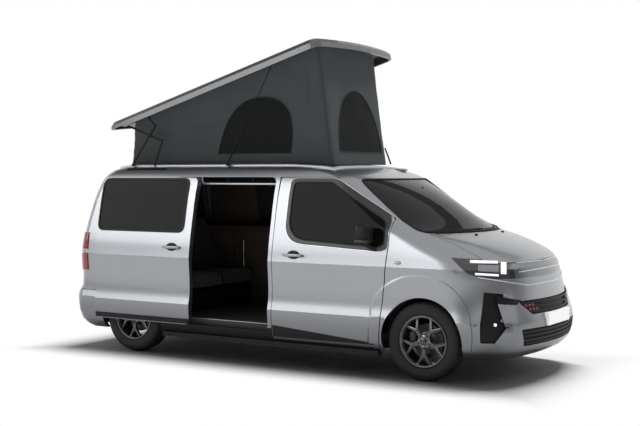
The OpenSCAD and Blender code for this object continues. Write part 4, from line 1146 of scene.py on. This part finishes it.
def seatPads(x, y, half, bolster, splits):
    base = seatLook["floor"]
    pads = []
    for part in range(splits):
        wide = 2 * half / splits - 0.008
        middle = y - half + (part + 0.5) * 2 * half / splits
        pads.append(buildPad((x + 0.235, middle, base + 0.305), (0.545, wide, 0.165), -3, 0.16, (-0.35, 0.05, 0.45), bolster))
        pads.append(buildPad((x - 0.095, middle, base + 0.605), (0.690, wide, 0.112), 71, 0.16, (-0.55, -0.2, 0.15, 0.5), bolster))
    pads.append(buildPad((x - 0.231, y, base + 1.020), (0.200, 1.08 * half, 0.080), 82, 0.2, (), 0.0))
    frameParts = [softBlock((x - 0.03, y - half + 0.02, base), (x + 0.45, y + half - 0.02, base + 0.215), 0.02, 3)]
    for out in (-0.06, 0.06):
        frameParts.append(tube([(x - 0.222, y + out, base + 0.86), (x - 0.230, y + out, base + 0.97)], 0.008))
    return pads, frameParts


pads, frames = [], []
for out in (-1, 1):
    some, more = seatPads(0.36, out * 0.42, 0.245, 0.022, 1)
    pads, frames = pads + some, frames + more
seatPadsFront = finishPiece(joined(pads), "frontSeatPads", seatCloth, "shell", 60)
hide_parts("front_seats")
finishPiece(joined(frames), "frontSeatFrames", blackSatin, "shell")
pads, frames = seatPads(-1.64, -0.085, 0.56, 0.0, 2)
benchPads = finishPiece(joined(pads), "benchPads", seatCloth, "shell", 60)
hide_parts("rear_bench")
finishPiece(joined(frames), "benchFrame", blackSatin, "shell")
print("seats built")

# ---- living space: cupboard fronts, wall panel, tap, bar handle, grab rail, step strip
roomLook = {"face": 0.56, "fronts": ((-1.972, -1.485), (-1.475, -0.985), (-0.975, -0.488)), "door": (0.430, 1.015),
            "drawer": (1.025, 1.172), "thick": 0.014}


def cupboardFront(x0, x1, z0, z1):
    front = softBlock((x0, roomLook["face"] - roomLook["thick"], z0), (x1, roomLook["face"] + 0.002, z1), 0.003)
    bpy.ops.object.mode_set(mode="EDIT")
    bpy.ops.mesh.select_all(action="DESELECT")
    bpy.ops.object.mode_set(mode="OBJECT")
    face = max(front.data.polygons, key=lambda f: f.area if f.normal.y < -0.9 else 0)
    face.select = True
    bpy.ops.object.mode_set(mode="EDIT")
    bpy.ops.mesh.select_mode(type="FACE")
    bpy.ops.mesh.inset(thickness=0.035)
    bpy.ops.mesh.extrude_faces_move(TRANSFORM_OT_shrink_fatten={"value": -0.005})
    bpy.ops.object.mode_set(mode="OBJECT")
    return front


fronts = []
for x0, x1 in roomLook["fronts"]:
    fronts.append(cupboardFront(x0, x1, *roomLook["door"]))
    fronts.append(cupboardFront(x0, x1, *roomLook["drawer"]))
finishPiece(joined(fronts), "cupboardFronts", laminate, "shell")
finishPiece(softBlock((-1.985, 0.790, 1.2152), (-1.34, 0.812, 1.70), 0.004), "wallPanel", laminate, "shell")
finishPiece(softBlock((-1.988, 0.552, 1.2152), (-0.472, 0.828, 1.226), 0.004), "worktopSheet", worktop, "shell")
tap = tube([(-0.92, 0.74, 1.225), (-0.92, 0.74, 1.42), (-0.92, 0.725, 1.455), (-0.92, 0.69, 1.465), (-0.92, 0.64, 1.45), (-0.92, 0.63, 1.42)], 0.011, False, 5)
tapFoot = spunRing([(-0.0, 0.0), (0.0, 0.026), (0.012, 0.024), (0.016, 0.013)], 24, (0, 0, 0))
tapFoot.rotation_euler = (math.pi / 2, 0, 0)
tapFoot.location = (-0.92, 0.74, 1.225)
finishPiece(joined([tap, tapFoot]), "sinkTap", glossBlack, "shell", 50)
bar = tube([(-1.32, 0.560, 0.47), (-1.32, 0.520, 0.475), (-1.32, 0.512, 0.49), (-1.32, 0.512, 1.06), (-1.32, 0.520, 1.075), (-1.32, 0.560, 1.08)], 0.009, False, 5)
finishPiece(bar, "cupboardBar", brightLine, "shell", 50)
rail = [tube([(-0.935, -0.735, 1.775), (-0.93, -0.725, 1.715), (-0.91, -0.722, 1.702), (-0.06, -0.722, 1.704), (-0.035, -0.725, 1.695), (-0.022, -0.735, 1.66)], 0.010, False, 5)]
finishPiece(joined(rail), "doorwayRail", brightRail, "shell", 50)
brackets = [tube([(x, -0.722, 1.703), (x, -0.738, 1.776)], 0.006) for x in (-0.62, -0.32, -0.06)]
finishPiece(joined(brackets), "railBrackets", blackSatin, "shell")
strip = softBlock((-1.215, -0.892, 0.3852), (-0.020, -0.858, 0.392), 0.003)
finishPiece(strip, "stepStrip", satinGrey, "shell")
print("living space fitted")

# ---- dash: hood, screen, vents, and the mirror at the head of the windscreen
dash = []
dash.append(roundedForm((1.06, 0.20, 1.155), (1.24, 0.60, 1.235), 4.0, 10))
dash.append(softBlock((1.085, -0.16, 1.10), (1.105, 0.12, 1.27), 0.008, 3))
finishPiece(joined(dash), "dashHood", blackSatin, "shell")
vents = []
for y in (-0.66, -0.30, 0.24, 0.66):
    for k in range(4):
        vents.append(softBlock((0.992, y - 0.06, 1.02 + 0.018 * k), (1.004, y + 0.06, 1.028 + 0.018 * k), 0.002, 1))
finishPiece(joined(vents), "dashVents", satinGrey, "shell")
inner = [roundedForm((1.015, -0.11, 1.555), (1.045, 0.11, 1.625), 4.0, 8)]
inner.append(tube([(1.035, 0, 1.60), (1.10, 0, 1.65), (1.135, 0, 1.672)], 0.008))
finishPiece(joined(inner), "screenMirror", blackSatin, "shell", 50)

# ---- wipers and washer jets
wipers = []
wiperLook = {"arms": ((-0.70, -0.06), (0.02, 0.62)), "foot": 1.287, "rise": 0.008, "steps": 18}
for start, end in wiperLook["arms"]:
    blade = []
    for k in range(wiperLook["steps"] + 1):
        t = k / wiperLook["steps"]
        blade.append(atFront(start + (end - start) * t, wiperLook["foot"] + wiperLook["rise"] * t, 0.006))
    wipers.append(tube(blade, 0.009, False, 3))
    arm = [p + Vector((0.006, 0, 0)) for p in blade[6:]]
    wipers.append(tube(arm, 0.006, False, 3))
    hub = atFront(end + 0.03, 1.2795, 0.004)
    wipers.append(tube([arm[-1], hub], 0.006, False, 3))
finishPiece(joined(wipers), "screenWipers", blackSatin, "shell", 50)
jets = []
for x, y in ((1.819, -0.30), (1.819, 0.30)):
    spot = atTop(x, y)
    jets.append(roundedForm(spot - Vector((0.018, 0.012, 0.004)), spot + Vector((0.014, 0.012, 0.010)), 3.0, 6))
finishPiece(joined(jets), "washerJets", blackSatin, "bonnet", 50)
print("wipers fitted")

# ---- roof: dark strips by the bars, a bump on the far side
strips = []
for out in (-1, 1):
    strips.append(patch(lambda u, v: atTop(-1.915 + 0.51 * u, out * (0.702 + 0.026 * v), 0.0005), (16, 3), 0.006))
finishPiece(joined(strips), "barStrips", blackSatin, "shell")
spot = atTop(0.635, 0.50)
finishPiece(roundedForm(spot - Vector((0.060, 0.085, 0.012)), spot + Vector((0.060, 0.085, 0.020)), 2.4, 10), "roofBump", paint, "shell", 50)

# ---- tail: pale bands in the lamps, gate handle, wiper, high lamp, reflectors
tail = []
for z0, z1 in ((0.985, 1.020), (0.815, 0.840)):
    def spot(u, v):
        return atTail(-0.80 - 0.10 * u, z0 + (z1 - z0) * v, 0.001)
    tail.append(patch(spot, (12, 3), 0.003))
tail = joined(tail)
bothSides(tail)
finishPiece(tail, "tailLampBands", paleLens, "shell")
gate = [patch(lambda u, v: atTail(-0.30 + 0.60 * u, 0.925 + 0.055 * v, 0.0005), (20, 4), 0.014)]
finishPiece(joined(gate), "gateHandle", blackSatin, "tailgate")
finishPiece(patch(lambda u, v: atTail(-0.16 + 0.32 * u, 1.790 + 0.022 * v, 0.0005), (16, 3), 0.010), "highLamp", redLens, "tailgate")
arm = [atTail(0.02 - 0.36 * k / 12, 1.262 + 0.05 * (k / 12), 0.016) for k in range(13)]
wiper = [tube(arm, 0.007, False, 3)]
hub = atTail(0.02, 1.262, 0.0)
wiper.append(roundedForm(hub - Vector((0.030, 0.028, 0.028)), hub + Vector((0.010, 0.028, 0.028)), 3.0, 8))
finishPiece(joined(wiper), "gateWiper", blackSatin, "tailgate", 50)
reflectors = patch(lambda u, v: atTail(-0.60 - 0.14 * u, 0.470 + 0.036 * v, 0.0005), (10, 3), 0.006)
bothSides(reflectors)
finishPiece(reflectors, "bumperReflectors", redLens, "shell")
fogs = patch(quadSpot(((494, 323.5), (496.6, 323.8), (496.6, 326.6), (494, 326.4)), -0.010), (4, 4), 0.012)
bothSides(fogs)
finishPiece(fogs, "fogLamps", lampWhite, "shell")
# a fuel tank and a silencer under the floor, made large and black so they also act as dark sheets filling the shade
# under the van
tankShadeBlock = roundedForm((0.50, -0.52, 0.180), (1.04, 0.10, 0.3295), 6.0, 12)
finishPiece(tankShadeBlock, "underTankShadeBlock", blackSatin, "shell", 50)
silencerShadeBlock = roundedForm((-2.40, -0.56, 0.190), (-1.84, 0.30, 0.3295), 6.0, 12)
finishPiece(silencerShadeBlock, "rearSilencerShadeBlock", blackSatin, "shell", 50)
print("tail fitted")

# ---- bands round the windows: grey frames on the front doors, black borders elsewhere
bandLook = {"thick": 0.003, "parts": 6, "doorBand": (0.006, 0.040), "border": (-0.004, 0.030)}


def bandRing(inner, outer, corner, spot, shift=Vector()):
    loops = []
    for outline, radius in ((inner, corner), (outer, corner + 0.03)):
        line = smoothLoop(outline, radius)
        loops.append([a + (b - a) * k / bandLook["parts"] for a, b in zip(line, line[1:] + line[:1]) for k in range(bandLook["parts"])])
    count = len(loops[0])
    points = [spot(p) for loop in loops for p in loop]
    faces = [(k, (k + 1) % count, count + (k + 1) % count, count + k) for k in range(count)]
    mesh = bpy.data.meshes.new("band")
    mesh.from_pydata(points, [], faces)
    band = bpy.data.objects.new("band", mesh)
    scene.collection.objects.link(band)
    only(band)
    mesh.update()
    if mesh.polygons[0].normal.dot(skinNormal(mesh.polygons[0].center - shift)[0]) < 0:
        bpy.ops.object.mode_set(mode="EDIT")
        bpy.ops.mesh.select_all(action="SELECT")
        bpy.ops.mesh.flip_normals()
        bpy.ops.object.mode_set(mode="OBJECT")
    useModifier(band, "SOLIDIFY", thickness=bandLook["thick"], offset=1)
    return band


def sideBand(outline, grow, shift=Vector(), outer=None):
    return bandRing(grown(outline, grow[0]), outer or grown(outline, grow[1]), windowLook["round"],
                    lambda p: atSide(p.x, p.y, 0.0006, shift) + Vector((shift.x, 0, 0)), shift)


band = sideBand(doorWindow, bandLook["doorBand"])
twin = mirrorOver(band)
finishPiece(band, "right_doorBand", bandDark, "right_front_door")
finishPiece(twin, "left_doorBand", bandDark, "left_front_door")
border = sideBand(rearWindow, bandLook["border"])
twin = mirrorOver(border)
bpy.data.objects.remove(border)
finishPiece(twin, "rearBorderLeft", borderGlass, "shell")
border = sideBand(leftWindow, bandLook["border"])
twin = mirrorOver(border)
bpy.data.objects.remove(border)
finishPiece(twin, "middleBorderLeft", borderGlass, "shell")
slideOuter = [(-1.219, 1.222), (-0.095, 1.222), (-0.095, 1.757), (-1.219, 1.757)]
finishPiece(sideBand(slideWindow, bandLook["border"], slideShift, slideOuter), "slideBorder", borderGlass, "shell")
gateOutline = [(-0.64, 1.255), (0.64, 1.255), (0.58, 1.745), (-0.58, 1.745)]
finishPiece(bandRing(grown(gateOutline, -0.004), grown(gateOutline, 0.035), 0.06, lambda p: atTail(p.x, p.y, 0.0006)), "gateBorder",
            borderGlass, "tailgate")
print("window bands fitted")

# ---- alloy wheels: barrel, hub and five forked spokes with bright edges, partly an edge finish and partly a painted highlight
alloyLook = {"spokes": 5, "front": 0.082, "deep": 0.030, "bevel": 0.0035, "hub": 0.052}
spokeHalf = [(0.022, 0.036), (0.0150, 0.108), (0.0715, 0.1945), (0.0535, 0.2020), (0.0, 0.133)]
edgeAlloyAndHighlight = speckled("edgeAlloyAndHighlight", (0.40, 0.385, 0.37), 0.28, metal=0.9, patch=30)


def buildAlloy(spot):
    out = -1 if spot[1] < 0 else 1
    barrel = [(-0.0945, 0.2275), (-0.0945, 0.2120), (-0.078, 0.2040), (0.066, 0.2040), (0.084, 0.2130), (0.0945, 0.2200), (0.0945, 0.2275),
              (-0.0945, 0.2275)]
    parts = [spunRing([(out * w, r) for w, r in barrel], 72, (0, 0, 0))]
    hub = [(0.045, 0.0), (0.045, 0.066), (0.072, 0.060), (0.079, 0.050), (0.081, 0.034), (0.081, 0.0)]
    parts.append(spunRing([(out * w, r) for w, r in hub], 48, (0, 0, 0)))
    outline = spokeHalf + [(-t, r) for t, r in reversed(spokeHalf[:-1])]
    mesh = bpy.data.meshes.new("spoke")
    mesh.from_pydata([(t, out * (alloyLook["front"] - alloyLook["deep"]), r) for t, r in outline], [], [list(range(len(outline)))])
    spoke = bpy.data.objects.new("spoke", mesh)
    scene.collection.objects.link(spoke)
    only(spoke)
    bpy.ops.object.mode_set(mode="EDIT")
    bpy.ops.mesh.select_all(action="SELECT")
    bpy.ops.mesh.extrude_region_move(TRANSFORM_OT_translate={"value": (0, out * alloyLook["deep"], 0)})
    bpy.ops.mesh.select_all(action="SELECT")
    bpy.ops.mesh.normals_make_consistent(inside=False)
    bpy.ops.mesh.bevel(offset=alloyLook["bevel"], segments=2, affect="EDGES")
    bpy.ops.object.mode_set(mode="OBJECT")
    for vertex in mesh.vertices:  # the spokes dish in towards the rim
        vertex.co.y -= out * 0.010 * max(0.0, vertex.co.z - 0.09) / 0.11
    for k in range(alloyLook["spokes"]):
        only(spoke)
        bpy.ops.object.duplicate()
        copy = bpy.context.object
        copy.rotation_euler = (0, 2 * math.pi * k / alloyLook["spokes"] + math.pi, 0)
        bpy.ops.object.transform_apply(location=True, rotation=True, scale=True)
        parts.append(copy)
    bpy.data.objects.remove(spoke)
    wheel = joined(parts)
    wheel.location = (spot[0], spot[1], 0.345)
    return wheel, out


for side, spot in wheelSpots.items():
    wheel, out = buildAlloy(spot)
    finishPiece(wheel, "alloyWheel_" + side, castAlloy, side + "_wheel", 40)
    wheel.data.materials.append(edgeAlloyAndHighlight)
    # bevel faces leaning outward get the bright alloy: a bright edge finish that also paints the highlight these edges
    # catch
    for face in wheel.data.polygons:
        lean = face.normal.y * out
        if 0.25 < lean < 0.93 and face.area < 4e-4:
            face.material_index = 1
    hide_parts("rim_" + side)
    disc = spunRing([(-out * 0.009, 0.083), (-out * 0.009, 0.150), (-out * 0.021, 0.150), (-out * 0.021, 0.083), (-out * 0.009, 0.083)], 64,
                    (spot[0], spot[1], 0.345))
    front = side.startswith("front")
    body = side.split("_")[1] + "_knuckle" if front else "shell"
    finishPiece(disc, "brakeDisc_" + side, underSteel, body, 30)
    caliper = roundedForm((spot[0] - 0.165, spot[1] - 0.040, 0.30), (spot[0] - 0.095, spot[1] + 0.040, 0.43), 4.0, 8)
    finishPiece(caliper, "brakeCaliper_" + side, underSteel, body, 50)
print("alloys built")

# ---- bumper corners: body-coloured wedges and the dark bar's tip
cornerPatches = {"wedge": ((497.5, 304.2), (512.5, 305.8), (512.5, 327.6), (505.0, 327.0)),
                 "foot": ((506.5, 328.2), (512.5, 328.4), (512.5, 345.5), (493.5, 345.0))}
parts = [patch(quadSpot(corners, 0.003), (8, 10), 0.003) for corners in cornerPatches.values()]
parts = joined(parts)
bothSides(parts)
finishPiece(parts, "bumperWedges", paint, "shell")
tip = patch(quadSpot(((496.0, 296.6), (521.0, 300.4), (516.5, 304.9), (497.0, 303.9)), 0.004), (12, 5), 0.003)
bothSides(tip)
finishPiece(tip, "bumperTips", blackSatin, "shell")

# ---- rear lamps: the part that wraps round onto the side
wings = []
for z0, z1 in ((0.805, 0.975), (1.022, 1.190)):
    wings.append(patch(lambda u, v: atSide(-2.405 + 0.13 * u, z0 + (z1 - z0) * v, 0.001), (14, 6), 0.010))
wings = joined(wings)
bothSides(wings)
finishPiece(wings, "tailLampWings", redLens, "shell")
print("corners fitted")



bpy.data.objects.remove(skinObj)
